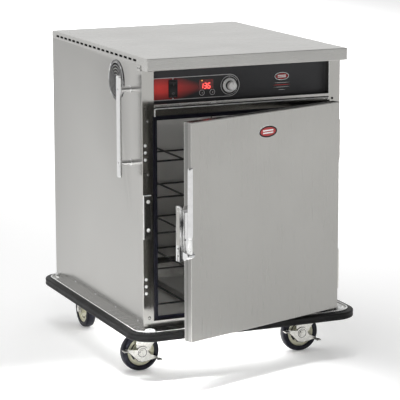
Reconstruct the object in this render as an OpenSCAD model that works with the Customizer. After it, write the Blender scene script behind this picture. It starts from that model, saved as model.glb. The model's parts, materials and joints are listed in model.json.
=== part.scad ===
// Heated proofing cabinet on casters: insulated body, one hinged door left ajar, five wire
// tray slides, a top control compartment and a bumper base.
// +Z is up, the door side faces -Y, and the floor is z = 0. The origin is under the middle
// of the bounding box.

/* [Cabinet body] */
// Width over the outer shell
body_w = 684; // [640:1:720]
// Depth from the front posts to the back wall
body_d = 810; // [790:1:850]
// Height of the worktop above the floor
top_z = 1020; // [1010:1:1060]
// Height of the deck that the body stands on
deck_z = 162; // [160:1:164]
// Thickness of the sheet metal
sheet = 1.2; // [1:0.1:1.5]

/* [Door opening] */
// Width of the clear opening inside the gasket
open_w = 587; // [570:1:590]
// Bottom of the clear opening
open_z0 = 199.5; // [195:0.5:205]
// Top of the clear opening
open_z1 = 822.5; // [815:0.5:830]
// Width of the gasket strip
gasket_w = 12.5; // [10:0.5:14]

/* [Door] */
// Width of the door
door_w = 634; // [630:1:636]
// Bottom edge of the door
door_z0 = 171; // [170:1:180]
// Top edge of the door
door_z1 = 848; // [840:1:850]
// Thickness of the door
door_t = 32; // [28:1:32]
// Angle that the door stands open at rest
door_ajar = 17.9; // [10:0.1:40]

/* [Tray slides] */
// Number of tray levels
levels = 5; // [1:1:5]
// Spacing of the tray levels
level_pitch = 114.3; // [100:0.1:114.3]
// Height of the top tray level
level_top = 690; // [680:1:700]
// Distance from the cabinet's middle to a tray rail
rail_x = 193; // [180:1:210]
// Diameter of the slide wire
wire_d = 6; // [4:0.5:7]

/* [Base] */
// Width over the bumper
bumper_w = 790; // [770:1:810]
// How far the bumper stands in front of the body
bumper_front = 70; // [60:1:80]
// How far the bumper stands behind the body
bumper_back = 30; // [20:1:60]
// Height of the bumper strip
bumper_h = 24; // [20:1:24]
// Thickness of the bumper strip
bumper_t = 18; // [12:1:20]

/* [Casters] */
// Wheel diameter
wheel_d = 127; // [120:1:127]
// Wheel width
wheel_w = 32; // [28:1:32]
// Distance between the left and right swivel axes
caster_x = 569; // [540:1:580]
// Distance of a swivel axis from the front or back of the body
caster_inset = 103; // [95:1:120]
// Offset of the wheel axle behind the swivel axis
trail = 31; // [25:1:35]

/* [Hidden] */
$fn = 48;

steel = "#b9b7b0";
dark = "#232325";
chrome = "#dcdddd";
eps = 0.01;
// Gap at the seam between two sheets
seam = 0.05;

// Angle of the power rocker at rest, in the on position
rocker_tilt = 6;
// Radius of the latch lever's boss
boss_r = 12.8;

// Heights and half widths that follow from the driving sizes
hw = body_w / 2;
skin_z1 = top_z - 20;
cover_hw = hw + sheet;
nose_y = -46;
nose_z = top_z - 39;
skirt_z = top_z - 25;
post_in = 302;
ledge_z = 868;
frame_t = 1.5;
seat_y = 6;
open_hw = open_w / 2;
seat_rim = gasket_w + 2;
seat_hw = open_hw + seat_rim;
liner_hw = open_hw + 0.5;
liner_z0 = open_z0 + 0.5;
liner_z1 = open_z1 - 0.5;
liner_y = 760;
floor_z = 862;
panel_y = 24;
overlay_t = 0.6;

// Door position
door_hw = door_w / 2;
door_back = -6.5;
door_front = door_back - door_t;
rim_y = door_back - 3.5;
hinge_x = door_hw + 9;
hinge_y = -24.3;
hinge_zs = [299, 723.5];
knuckle_r = 6;
pin_r = 3;
run_gap = 0.05;
leaf_l = 127;
mid_l = 71.5;

// Latch position, measured on the closed door
latch_x0 = -door_hw - 28;
latch_z0 = 426;
latch_z1 = 597;
boss_y = -47.5;
boss_z = 447;

// Reach of the ajar door's lever in front of the posts, and the middle of the whole length
reach_x = latch_x0 + 1.5 - hinge_x;
reach_y = boss_y - boss_r - hinge_y;
front_reach = -hinge_y - reach_x * sin(door_ajar) - reach_y * cos(door_ajar);
y_mid = (body_d + bumper_back - front_reach) / 2;

// Controls
switch_x = -228.7;
switch_z = 914;
button_zs = 895.8;
button_xs = [-130.8, -95];
knob_x = -36.6;
knob_z = 914;
// Half size of the switch opening, radius of a button hole and of the knob hole
switch_hole = [12.5, 25.5];
button_hole_r = 4.7;
knob_hole_r = 4;
// Half height of the overlay and its left end
overlay_r = 35;
overlay_x0 = -298;

// Vent fan on the left wall: position, radius of the air way and of the guard
fan_y = 212;
fan_z = 924;
fan_r = 57.5;
guard_r = 65;

// Back wall: cord bushing and louvres
cord_x = -240;
cord_z = 925;
cord_r = 5;
bush_r = 15;
bush_neck_r = 11;
louvre_x = [60, 220];
louvre_z0 = 890;
louvre_pitch = 11;
louvre_h = 4;

// Vent slots in the worktop's side skirts
vent_y0 = 41.5;
vent_pitch = 38.75;
vent_l = 26;

// Carrying handles
handle_y = [81, 106];
handle_z = [634, 955];
handle_gap = 34;
handle_t = 10;

// Tray slides: first, middle and last cross wire, and height of the back stop above a rail
cross_ys = [22, 348, 674];
stop_h = 20;
leg_r = 2.4;

// Back baffle and the blower behind it
baffle_y = 690;
baffle_hw = 240;
baffle_z = [215, 805];
blow_x = -95;
blow_z = 510;
wheel_y = 702;
heater_y = 725;
heater_r = 95;
heater_rod_r = 4;
motor_r = 45;
shaft_r = 4;

// Base outline
base_hw = bumper_w / 2 - bumper_t;
base_y0 = -bumper_front + bumper_t;
base_y1 = body_d + bumper_back - bumper_t;
base_r = 60;
base_z0 = deck_z - 26;

// Casters
axle_z = wheel_d / 2;
rim_r = 45;
axle_r = 6;
plate_z = deck_z - 6;
crown_z = deck_z - 28;
boss_d = 30;
bolt_l = 60;

// Puts a shape measured from the front posts into the cabinet's own frame.
module cab() {
    translate([0, -y_mid, 0]) children();
}

// Box given by its two corners.
module box(a, b) {
    translate(a) cube(b - a);
}

// Flat plate across the front: an XZ outline from y0 to y1.
module front_plate(y0, y1) {
    translate([0, y1, 0]) rotate([90, 0, 0]) linear_extrude(y1 - y0) children();
}

// Side plate: a YZ outline from x0 to x1.
module side_plate(x0, x1) {
    translate([x0, 0, 0]) rotate([90, 0, 90]) linear_extrude(x1 - x0) children();
}

// Rectangle given by its two corners.
module rect(a, b) {
    translate(a) square(b - a);
}

// Rectangle with round corners, made of exact arcs.
module round_rect(a, b, r) {
    rect([a[0] + r, a[1]], [b[0] - r, b[1]]);
    rect([a[0], a[1] + r], [b[0], b[1] - r]);
    for (x = [a[0] + r, b[0] - r], y = [a[1] + r, b[1] - r])
        translate([x, y]) circle(r, $fn = 72);
}

// Rod along one axis from a point.
module rod_x(p, l, r) {
    translate(p) rotate([0, 90, 0]) cylinder(h = l, r = r);
}
module rod_y(p, l, r) {
    translate(p) rotate([-90, 0, 0]) cylinder(h = l, r = r);
}

// Turns the closed door's shapes to the angle at which the door stands.
module door_pose() {
    translate([hinge_x, hinge_y, 0]) rotate([0, 0, door_ajar])
        translate([-hinge_x, -hinge_y, 0]) children();
}

// ---- Body ----

// Left, right and back walls, with the fan hole, cord hole and louvres.
module outer_shell() color(steel) cab() {
    difference() {
        box([-hw, frame_t, deck_z], [-hw + sheet, body_d, skin_z1]);
        rod_x([-hw - 1, fan_y, fan_z], sheet + 2, fan_r - 0.5);
    }
    box([hw - sheet, frame_t, deck_z], [hw, body_d, skin_z1]);
    difference() {
        box([-hw + sheet + seam, body_d - sheet, deck_z], [hw - sheet - seam, body_d, skin_z1]);
        rod_y([cord_x, body_d - sheet - 1, cord_z], sheet + 2, bush_neck_r);
        for (i = [0:7], z = louvre_z0 + i * louvre_pitch)
            box([louvre_x[0], body_d - sheet - 1, z], [louvre_x[1], body_d + 1, z + louvre_h]);
    }
}

// Outside and inside of the channel that the gasket sits in.
module seat_outline() {
    rect([-seat_hw, open_z0 - seat_rim], [seat_hw, open_z1 + seat_rim]);
}
module seat_opening() {
    rect([-seat_hw + frame_t, open_z0 - seat_rim + frame_t],
         [seat_hw - frame_t, open_z1 + seat_rim - frame_t]);
}

// Front posts, header, sill, gasket seat and the recess around the controls.
module front_frame() color(steel) cab() {
    front_plate(0, frame_t) difference() {
        rect([-hw, deck_z], [hw, nose_z]);
        seat_opening();
        rect([-post_in, ledge_z], [post_in, nose_z + 1]);
    }
    front_plate(frame_t, seat_y) difference() {
        seat_outline();
        seat_opening();
    }
    front_plate(seat_y, seat_y + frame_t) difference() {
        seat_outline();
        rect([-open_hw, open_z0], [open_hw, open_z1]);
    }
    for (s = [-1, 1])
        box([s > 0 ? post_in : -post_in - sheet, frame_t, ledge_z - sheet],
            [s > 0 ? post_in + sheet : -post_in, panel_y, nose_z]);
    box([-post_in, frame_t, ledge_z - sheet], [post_in, panel_y, ledge_z]);
}

// Polished inside box of five sheets, open at the front.
module inner_liner() color(chrome) cab() {
    y0 = seat_y + frame_t;
    for (x = [-liner_hw - sheet, liner_hw])
        box([x, y0, liner_z0 - sheet], [x + sheet, liner_y + sheet, liner_z1 + sheet]);
    for (z = [liner_z0 - sheet, liner_z1])
        box([-liner_hw + seam, y0, z], [liner_hw - seam, liner_y + sheet, z + sheet]);
    difference() {
        box([-liner_hw + seam, liner_y, liner_z0 + seam],
            [liner_hw - seam, liner_y + sheet, liner_z1 - seam]);
        rod_y([blow_x, liner_y - 1, blow_z], sheet + 2, 3 * shaft_r);
    }
}

// Insulation between the liner and the outer shell.
module insulation() color("#d9c27a") cab() difference() {
    box([-hw + sheet, seat_y + frame_t, deck_z], [hw - sheet, body_d - sheet, floor_z]);
    box([-liner_hw - sheet, 0, liner_z0 - sheet], [liner_hw + sheet, liner_y + sheet, liner_z1 + sheet]);
    rod_y([blow_x, liner_y, blow_z], body_d, motor_r + 3);
}

// Worktop with its nose, side and back skirts, gussets and vent slots.
module top_cover() color(steel) cab() difference() {
    union() {
        box([-cover_hw, nose_y, top_z - sheet], [cover_hw, body_d + sheet, top_z]);
        box([-cover_hw, nose_y, nose_z], [cover_hw, nose_y + sheet, top_z]);
        box([-cover_hw, nose_y, nose_z], [cover_hw, 0, nose_z + sheet]);
        box([-cover_hw, body_d, skirt_z], [cover_hw, body_d + sheet, top_z]);
        for (x = [-cover_hw, hw])
            side_plate(x, x + sheet)
                polygon([[nose_y, nose_z], [0, nose_z], [38, skirt_z], [body_d + sheet, skirt_z],
                         [body_d + sheet, top_z], [nose_y, top_z]]);
    }
    for (i = [0:18], x = [-cover_hw - 1, hw - 1], y = vent_y0 + i * vent_pitch)
        box([x, y, top_z - 18], [x + sheet + 2, y + vent_l, top_z - 11]);
}

// Floor of the control compartment.
module compartment_floor() color(steel) cab()
    box([-hw + sheet, frame_t, floor_z], [hw - sheet, body_d - sheet, floor_z + sheet]);

// Rubber gasket around the opening.
module gasket() color(dark) cab() front_plate(-6, seat_y) difference() {
    rect([-open_hw - gasket_w, open_z0 - gasket_w], [open_hw + gasket_w, open_z1 + gasket_w]);
    rect([-open_hw, open_z0], [open_hw, open_z1]);
}

// Snap plugs in the unused hinge holes and small post screws.
module hole_plugs() color(chrome) cab() {
    for (z = hinge_zs, dz = [-22.4, 0, 22.4])
        rod_y([-332.3, -2, z + dz], 2, 5);
    for (z = [197, 655, 822])
        rod_y([-322, -1, z], 1, 3);
}

// Strike plate for the latch on the left post, with its two screws.
module strike_bracket() color(chrome) cab() {
    box([-hw + 1, -3, 451], [-315, 0, 590]);
    box([-hw + 1, -8, 451], [-hw + 3, -3, 590]);
    for (z = [479.3, 569.6])
        rod_y([-325, -5, z], 2, 4.5);
}

// Round-headed rivets along the bottom of both side walls.
module shell_rivets() color(chrome) cab()
    for (y = [48, 240, 426, 615, 768], s = [-1, 1])
        rod_x([s > 0 ? hw : -hw - 1.2, y, 178], 1.2, 4);

// Two upright carrying handles with round stand-offs, one on each side wall.
module transport_handles() color(chrome) cab() for (s = [-1, 1]) mirror([s > 0 ? 1 : 0, 0, 0]) {
    side_plate(-hw - handle_gap - handle_t, -hw - handle_gap)
        round_rect([handle_y[0], handle_z[0]], [handle_y[1], handle_z[1]], 5);
    for (z = [handle_z[0] + 46, handle_z[1] - 44])
        rod_x([-hw - handle_gap, (handle_y[0] + handle_y[1]) / 2, z], handle_gap, 7);
}

// Bushing for the mains cord in the back wall.
module cord_gland() color(dark) cab() difference() {
    union() {
        rod_y([cord_x, body_d, cord_z], 16, bush_r);
        rod_y([cord_x, body_d - sheet, cord_z], sheet + eps, bush_neck_r);
        rod_y([cord_x, body_d - sheet - 6, cord_z], 6, bush_r);
    }
    rod_y([cord_x, body_d - 20, cord_z], 40, cord_r);
}

// ---- Controls ----

// Outline of the holes for the switch, the buttons and the knob's shaft.
module control_holes() {
    translate([switch_x, switch_z]) rect(-switch_hole, switch_hole);
    for (x = button_xs)
        translate([x, button_zs]) circle(button_hole_r);
    translate([knob_x, knob_z]) circle(knob_hole_r);
}

// Black recessed control panel with the cut-outs for the controls.
module control_panel() color(dark) cab() front_plate(panel_y, panel_y + sheet) difference() {
    rect([-post_in, ledge_z], [post_in, top_z - 8]);
    control_holes();
}

// Printed overlay with a round end about the knob.
module control_overlay() color("#7c2320") cab() front_plate(panel_y - overlay_t, panel_y) difference() {
    union() {
        rect([overlay_x0, knob_z - overlay_r], [knob_x, knob_z + overlay_r]);
        translate([knob_x, knob_z]) circle(overlay_r, $fn = 72);
    }
    control_holes();
}

// Clear window over the temperature digits.
module display_window() color("#701010") cab()
    box([-141, panel_y - overlay_t - 0.8, 904], [-92, panel_y - overlay_t, 937]);

// Frame of the power switch.
module switch_bezel() color(dark) cab() front_plate(panel_y - 3.6, panel_y - overlay_t) difference() {
    round_rect([switch_x - 15, switch_z - 28], [switch_x + 15, switch_z + 28], 2);
    rect([switch_x - 12.4, switch_z - 25.4], [switch_x + 12.4, switch_z + 25.4]);
}

// Rocker of the power switch, dished and tipped to on.
module rocker_switch() color(dark) cab()
    translate([switch_x, 25, switch_z]) rotate([rocker_tilt, 0, 0]) difference() {
        box([-12, -6.5, -24], [12, 6, 24]);
        rod_x([-13, -87, 0], 26, 82);
    }

// Push buttons below the display.
module button(x) {
    rod_y([x, 20.5, button_zs], 11, 4.3);
    rod_y([x, 26.5, button_zs], 2, 6);
}
module up_button() color("#8d2a26") cab() button(button_xs[0]);
module down_button() color("#8d2a26") cab() button(button_xs[1]);

// Humidity knob: skirt, cap and shaft.
module knob() color(chrome) cab() {
    rod_y([knob_x, 19.4, knob_z], 2.8, 23);
    rod_y([knob_x, -5, knob_z], 24.4, 13.5);
    rod_y([knob_x, 22.2, knob_z], 11.3, 3);
}

// Plain trim badges with round ends, on the panel and on the door.
module badge(w, h) {
    round_rect([-w / 2, -h / 2], [w / 2, h / 2], h / 2 - 0.1);
}
module panel_badge() color("#6d1f1f") cab() front_plate(panel_y - 1.2, panel_y)
    translate([146, 932]) badge(50, 25);
module door_badge() color("#6d1f1f") cab() door_pose() front_plate(door_front - 1.4, door_front)
    translate([0, 787]) badge(78, 38);

// Temperature controller behind the panel.
module controller_box() color("#3c4a3c") cab() {
    box([-165, 34, 880], [15, 78, 958]);
    for (x = [-150, 0])
        rod_y([x, panel_y + sheet, 948], 34 - panel_y - sheet, 4);
}

// ---- Vent fan ----

// Finger guard of rings and ribs outside the left wall.
module fan_guard() color(chrome) cab() {
    side_plate(-hw - 4.5, -hw - 2.1) translate([fan_y, fan_z]) {
        for (r = [10:11:54])
            difference() {
                circle(r + 1.5);
                circle(r - 1.5);
            }
        difference() {
            for (a = [45, 135])
                rotate(a) square([2.6, 122], center = true);
            circle(8);
        }
    }
    side_plate(-hw - 4.5, -hw) translate([fan_y, fan_z]) difference() {
        circle(guard_r, $fn = 72);
        circle(guard_r - 5, $fn = 72);
    }
}

// Square fan frame with the motor hub on struts.
module vent_fan_frame() color(dark) cab() difference() {
    union() {
        side_plate(-hw + sheet, -hw + 26) translate([fan_y, fan_z]) difference() {
            square(2 * fan_r + 3, center = true);
            circle(fan_r, $fn = 72);
        }
        side_plate(-hw + 22, -hw + 26) translate([fan_y, fan_z]) {
            circle(21);
            for (a = [30, 150, 270])
                rotate(a) translate([0, -3]) square([58, 6]);
        }
    }
    rod_x([-hw + 18, fan_y, fan_z], 12, 2 + run_gap);
}

// Seven-bladed rotor that turns about X.
module vent_fan_rotor() color("#303032") cab() translate([-hw + 6, fan_y, fan_z]) {
    rotate([0, 90, 0]) cylinder(h = 14, r = 20);
    rotate([0, 90, 0]) cylinder(h = 19, r = 2);
    for (i = [0:6])
        rotate([i * 360 / 7, 0, 0]) translate([7, 0, 37]) rotate([0, 0, 35]) cube([2, 18, 37], center = true);
}

// ---- Cavity ----

// Slotted uprights on the liner's side walls.
module slide_uprights() color(steel) cab() for (s = [-1, 1], y = [120, 560]) {
    x = s > 0 ? liner_hw - 5 : -liner_hw;
    difference() {
        box([x, y - 12, 215], [x + 5, y + 12, 805]);
        for (z = [225:19.05:795])
            box([x - 1, y - 4, z], [x + 6, y + 4, z + 7]);
    }
}

// Side rails of every tray level: a rail, a wall wire and the cross wires between them.
module tray_rails(side) color(chrome) cab() for (level = [0:levels - 1]) {
    z = level_top - level * level_pitch;
    r = wire_d / 2;
    wall_x = liner_hw - 5.3 - r;
    cross_x = side > 0 ? rail_x + r : r - wall_x;
    for (x = [rail_x, wall_x])
        rod_y([side * x, cross_ys[0] - r, z], cross_ys[2] - cross_ys[0] + 2 * r, r);
    for (y = cross_ys)
        rod_x([cross_x, y, z], wall_x - rail_x - 2 * r, r);
}
module tray_rails_left() tray_rails(-1);
module tray_rails_right() tray_rails(1);

// Back stop of every level: a bar above the rails on a short leg at each end.
module tray_stop_wires() color(chrome) cab() for (level = [0:levels - 1]) {
    z = level_top - level * level_pitch;
    r = wire_d / 2;
    rod_x([-rail_x - r, cross_ys[2], z + stop_h], 2 * (rail_x + r), r);
    for (x = [-rail_x, rail_x])
        translate([x, cross_ys[2], z + r + run_gap]) cylinder(h = stop_h - r, r = leg_r);
}

// Back baffle with the blower inlet grille and side slots.
module air_baffle() color(steel) cab() difference() {
    box([-baffle_hw, baffle_y, baffle_z[0]], [baffle_hw, liner_y, baffle_z[1]]);
    box([-baffle_hw + sheet, baffle_y + sheet, baffle_z[0] - 1],
        [baffle_hw - sheet, liner_y + 1, baffle_z[1] + 1]);
    for (i = [-4:4], j = [-4:4])
        if (i * i + j * j < 20)
            rod_y([blow_x + i * 15, baffle_y - 1, blow_z + j * 15], sheet + 2, 5);
    for (x = [-200, 200], k = [0:11], z = 250 + k * 44)
        box([x - 20, baffle_y - 1, z], [x + 20, baffle_y + sheet + 1, z + 6]);
}

// Ring heater around the blower wheel, with two terminals into the back wall.
module heater_element() color("#6b5f58") cab() translate([blow_x, heater_y, blow_z]) {
    rotate([90, 0, 0]) rotate_extrude($fn = 72) translate([heater_r, 0]) circle(heater_rod_r, $fn = 24);
    for (x = [-18, 18])
        rod_y([x, 0, -sqrt(heater_r * heater_r - x * x)], liner_y - heater_y, heater_rod_r);
}

// Blower motor behind the liner.
module blower_motor() color("#3a3a3c") cab() difference() {
    rod_y([blow_x, liner_y + sheet, blow_z], 40, motor_r);
    rod_y([blow_x, liner_y, blow_z], 26, shaft_r + run_gap);
}

// Blower wheel: back disc, blades, front ring and shaft.
module blower_wheel() color(chrome) cab() translate([blow_x, wheel_y, blow_z]) rotate([-90, 0, 0]) {
    translate([0, 0, 36]) cylinder(h = 2, r = 70, $fn = 72);
    difference() {
        cylinder(h = 2, r = 70, $fn = 72);
        translate([0, 0, -1]) cylinder(h = 4, r = 56, $fn = 72);
    }
    for (i = [0:23])
        rotate(i * 15) translate([63, 0, 19]) cube([12, 1.2, 34 + eps], center = true);
    translate([0, 0, 30]) cylinder(h = 50, r = shaft_r);
}

// Shallow pan for water on the cavity floor.
module water_pan() color(chrome) cab() difference() {
    box([-150, 60, liner_z0], [150, 560, liner_z0 + 26]);
    box([-149, 61, liner_z0 + 1], [149, 559, liner_z0 + 27]);
}

// ---- Door ----

// Outer door pan.
module door_outer() color(steel) cab() door_pose() difference() {
    box([-door_hw, door_front, door_z0], [door_hw, rim_y, door_z1]);
    box([-door_hw + sheet, door_front + sheet, door_z0 + sheet],
        [door_hw - sheet, rim_y + 1, door_z1 - sheet]);
}

// Inner door pan that closes the back of the door.
module door_inner() color(steel) cab() door_pose() difference() {
    box([-door_hw, rim_y, door_z0], [door_hw, door_back, door_z1]);
    box([-door_hw + sheet, rim_y - 1, door_z0 + sheet],
        [door_hw - sheet, door_back - sheet, door_z1 - sheet]);
}

// Insulation inside the door.
module door_insulation() color("#d9c27a") cab() door_pose()
    box([-door_hw + sheet, door_front + sheet, door_z0 + sheet],
        [door_hw - sheet, door_back - sheet, door_z1 - sheet]);

// Hinge leaves screwed to the right post, each with the middle knuckle.
module hinge_frame_leaves() color(chrome) cab() for (z = hinge_zs) difference() {
    union() {
        box([hinge_x - 2, -2.5, z - mid_l / 2], [hw - 1, 0, z + mid_l / 2]);
        box([hinge_x + 3.5, hinge_y, z - mid_l / 2], [hinge_x + knuckle_r, -2, z + mid_l / 2]);
        translate([hinge_x, hinge_y, z - mid_l / 2]) cylinder(h = mid_l, r = knuckle_r);
    }
    translate([hinge_x, hinge_y, z - leaf_l]) cylinder(h = 2 * leaf_l, r = pin_r + run_gap);
}

// Hinge leaves on the door's edge, each with two end knuckles.
module hinge_door_leaves() color(chrome) cab() door_pose() for (z = hinge_zs) difference() {
    union() {
        box([door_hw, door_front + 2, z - leaf_l / 2], [door_hw + 2.5, rim_y - 2, z + leaf_l / 2]);
        for (s = [-1, 1])
            translate([hinge_x, hinge_y, s > 0 ? z + mid_l / 2 + 0.3 : z - leaf_l / 2])
                cylinder(h = (leaf_l - mid_l) / 2 - 0.3, r = knuckle_r);
        for (s = [-1, 1])
            translate([door_hw, hinge_y - 1.25, s > 0 ? z + mid_l / 2 + 0.3 : z - leaf_l / 2])
                cube([4.5, 2.5, (leaf_l - mid_l) / 2 - 0.3]);
    }
    translate([hinge_x, hinge_y, z - leaf_l]) cylinder(h = 2 * leaf_l, r = pin_r + run_gap);
}

// Hinge pins with button heads.
module hinge_pins() color(steel) cab() for (z = hinge_zs) {
    translate([hinge_x, hinge_y, z - leaf_l / 2]) cylinder(h = leaf_l, r = pin_r);
    for (s = [0, 1])
        translate([hinge_x, hinge_y, s > 0 ? z + leaf_l / 2 : z - leaf_l / 2 - 2]) cylinder(h = 2, r = 5);
}

// Latch housing on the door's free edge, with two ears for the lever.
module latch_housing() color(chrome) cab() door_pose() difference() {
    union() {
        box([latch_x0, -34, latch_z0], [-door_hw, -9, latch_z1]);
        for (x = [latch_x0 - 2, -door_hw - 2.5])
            side_plate(x, x + 2.5) {
                translate([boss_y, boss_z]) circle(9);
                rect([boss_y, boss_z - 9], [-33, boss_z + 9]);
            }
    }
    rod_x([latch_x0 - 5, boss_y, boss_z], 50, pin_r + run_gap);
}

// Pull lever: boss, pivot pin and upright grip.
module latch_lever() color(chrome) cab() door_pose() {
    difference() {
        union() {
            rod_x([latch_x0 + 1.5, boss_y, boss_z], 23, boss_r);
            side_plate(latch_x0 + 2, latch_x0 + 24) polygon([
                [boss_y - 12, boss_z], [boss_y + 6, boss_z + 8], [boss_y + 3, 500], [boss_y + 1, 706],
                [boss_y - 3, 713], [boss_y - 8, 713], [boss_y - 11, 706], [boss_y - 12, 500]]);
        }
        rod_x([latch_x0 - 5, boss_y, boss_z], 50, pin_r);
    }
    rod_x([latch_x0 - 2, boss_y, boss_z], 30, pin_r);
}

// ---- Base and casters ----

// Deck plate with a turned-down edge, a raised lip and open corner windows.
module base_frame() color(steel) cab() {
    translate([0, 0, deck_z - 2]) linear_extrude(2) difference() {
        round_rect([-base_hw, base_y0], [base_hw, base_y1], base_r);
        for (s = [-1, 1])
            mirror([s > 0 ? 1 : 0, 0]) {
                rect([-366, -26], [-347, 6]);
                rect([-366, -26], [-328, -8]);
                rect([-366, 757], [-347, 800]);
            }
    }
    translate([0, 0, base_z0]) linear_extrude(deck_z - 2 - base_z0) difference() {
        round_rect([-base_hw, base_y0], [base_hw, base_y1], base_r);
        round_rect([-base_hw + 2.5, base_y0 + 2.5], [base_hw - 2.5, base_y1 - 2.5], base_r - 2.5);
    }
    translate([0, 0, deck_z]) linear_extrude(2) difference() {
        round_rect([-base_hw, base_y0], [base_hw, base_y1], base_r);
        round_rect([-base_hw + 4, base_y0 + 4], [base_hw - 4, base_y1 - 4], base_r - 4);
    }
}

// Rubber bumper around the base.
module bumper() color(dark) cab() translate([0, 0, base_z0]) linear_extrude(bumper_h) difference() {
    round_rect([-bumper_w / 2, -bumper_front], [bumper_w / 2, body_d + bumper_back], base_r + bumper_t);
    round_rect([-base_hw, base_y0], [base_hw, base_y1], base_r);
}

// Places a shape on each swivel axis.
module at_caster(right, back) {
    cab() translate([(right ? 1 : -1) * caster_x / 2, back ? body_d - caster_inset : caster_inset, 0])
        rotate([0, 0, back ? 90 : 0]) children();
}

// Caster top plates, each with its bolts and upper bearing race.
module caster_plates() color(chrome)
    for (right = [false, true], back = [false, true])
        at_caster(right, back) top_plate();
module top_plate() {
    box([-52, -42, plate_z], [52, 42, plate_z + 4]);
    translate([0, 0, plate_z - 11]) cylinder(h = 11, r = 31);
    for (x = [-40, 40], y = [-30, 30])
        translate([x, y, plate_z - 5]) cylinder(h = 5, r = 6, $fn = 6);
}

// Swivel fork: lower race, crown, two legs, axle bolt and nuts.
module fork() {
    difference() {
        union() {
            translate([0, 0, crown_z + 4]) cylinder(h = plate_z - 15.4 - crown_z, r = 29);
            box([-50, -22, crown_z], [38, 22, crown_z + 4]);
            for (y = [-22, 19])
                front_plate(y, y + 3) {
                    polygon([[38, crown_z], [-50, crown_z], [-50, 84],
                             [-trail - 12, 54], [-trail + 12, 54], [-9, 62]]);
                    translate([-trail, axle_z]) circle(14);
                }
        }
        rod_y([-trail, -bolt_l / 2, axle_z], bolt_l, axle_r + 0.1);
    }
    rod_y([-trail, -bolt_l / 2, axle_z], bolt_l, axle_r);
    for (y = [-bolt_l / 2, bolt_l / 2 - 7.9])
        translate([-trail, y, axle_z]) rotate([-90, 0, 0]) cylinder(h = 7.9, r = 10, $fn = 6);
}
module fork_fl() color(chrome) at_caster(false, false) fork();
module fork_fr() color(chrome) at_caster(true, false) fork();
module fork_rl() color(chrome) at_caster(false, true) fork();
module fork_rr() color(chrome) at_caster(true, true) fork();

// Slotted wheel hub with a bored boss for the axle bolt.
module hub() translate([-trail, 0, axle_z]) rotate([90, 0, 0]) difference() {
    union() {
        cylinder(h = 24, r = rim_r, center = true, $fn = 96);
        cylinder(h = wheel_w + 2, r = boss_d / 2, center = true);
    }
    for (s = [-1, 1])
        translate([0, 0, s * 14]) difference() {
            cylinder(h = 10, r = rim_r - 5, center = true, $fn = 96);
            cylinder(h = 11, r = boss_d / 2, center = true);
        }
    for (i = [0:5])
        rotate(i * 60 + 30) translate([31, 0, 0]) cube([6, 24, 40], center = true);
    cylinder(h = 40, r = axle_r + run_gap, center = true);
}
module hub_fl() color("#d2cfb2") at_caster(false, false) hub();
module hub_fr() color("#d2cfb2") at_caster(true, false) hub();
module hub_rl() color("#d2cfb2") at_caster(false, true) hub();
module hub_rr() color("#d2cfb2") at_caster(true, true) hub();

// Tyre moulded around the hub.
module tyre() translate([-trail, 0, axle_z]) rotate([90, 0, 0]) rotate_extrude($fn = 96) polygon([
    [rim_r, -12], [rim_r + 3, -wheel_w / 2], [axle_z - 5, -wheel_w / 2], [axle_z - 1.5, 3 - wheel_w / 2],
    [axle_z, 7 - wheel_w / 2], [axle_z, wheel_w / 2 - 7], [axle_z - 1.5, wheel_w / 2 - 3],
    [axle_z - 5, wheel_w / 2], [rim_r + 3, wheel_w / 2], [rim_r, 12]]);
module tyre_fl() color(dark) at_caster(false, false) tyre();
module tyre_fr() color(dark) at_caster(true, false) tyre();
module tyre_rl() color(dark) at_caster(false, true) tyre();
module tyre_rr() color(dark) at_caster(true, true) tyre();

// Rocking brake plate with a pedal at each end.
module brake() {
    translate([-trail, 0, axle_z]) {
        front_plate(-25.5, -22.4) difference() {
            union() {
                circle(19);
                polygon([[-58, 18], [-20, 8], [20, -10], [50, -18], [52, -23],
                         [15, -30], [-14, -28], [-40, 2], [-60, 12]]);
            }
            circle(13.5);
        }
        box([-70, -46, 12], [-52, -22.4, 15]);
        box([46, -46, -26], [62, -22.4, -23]);
    }
}
module brake_fl() color(chrome) at_caster(false, false) brake();
module brake_fr() color(chrome) at_caster(true, false) brake();

outer_shell();
front_frame();
inner_liner();
insulation();
top_cover();
compartment_floor();
control_panel();
control_overlay();
display_window();
switch_bezel();
panel_badge();
controller_box();
fan_guard();
vent_fan_frame();
vent_fan_rotor();
gasket();
strike_bracket();
hole_plugs();
hinge_frame_leaves();
hinge_door_leaves();
hinge_pins();
transport_handles();
base_frame();
bumper();
slide_uprights();
tray_rails_left();
tray_rails_right();
tray_stop_wires();
heater_element();
blower_motor();
blower_wheel();
air_baffle();
water_pan();
cord_gland();
shell_rivets();
rocker_switch();
up_button();
down_button();
knob();
door_outer();
door_inner();
door_insulation();
door_badge();
latch_housing();
latch_lever();
caster_plates();
fork_fl();
fork_fr();
fork_rl();
fork_rr();
brake_fl();
brake_fr();
hub_fl();
hub_fr();
hub_rl();
hub_rr();
tyre_fl();
tyre_fr();
tyre_rl();
tyre_rr();
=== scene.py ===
"""Looks of the proofing cabinet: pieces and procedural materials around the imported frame."""

import json
import math

import bmesh
import bpy
from mathutils import Matrix, Vector


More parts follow.
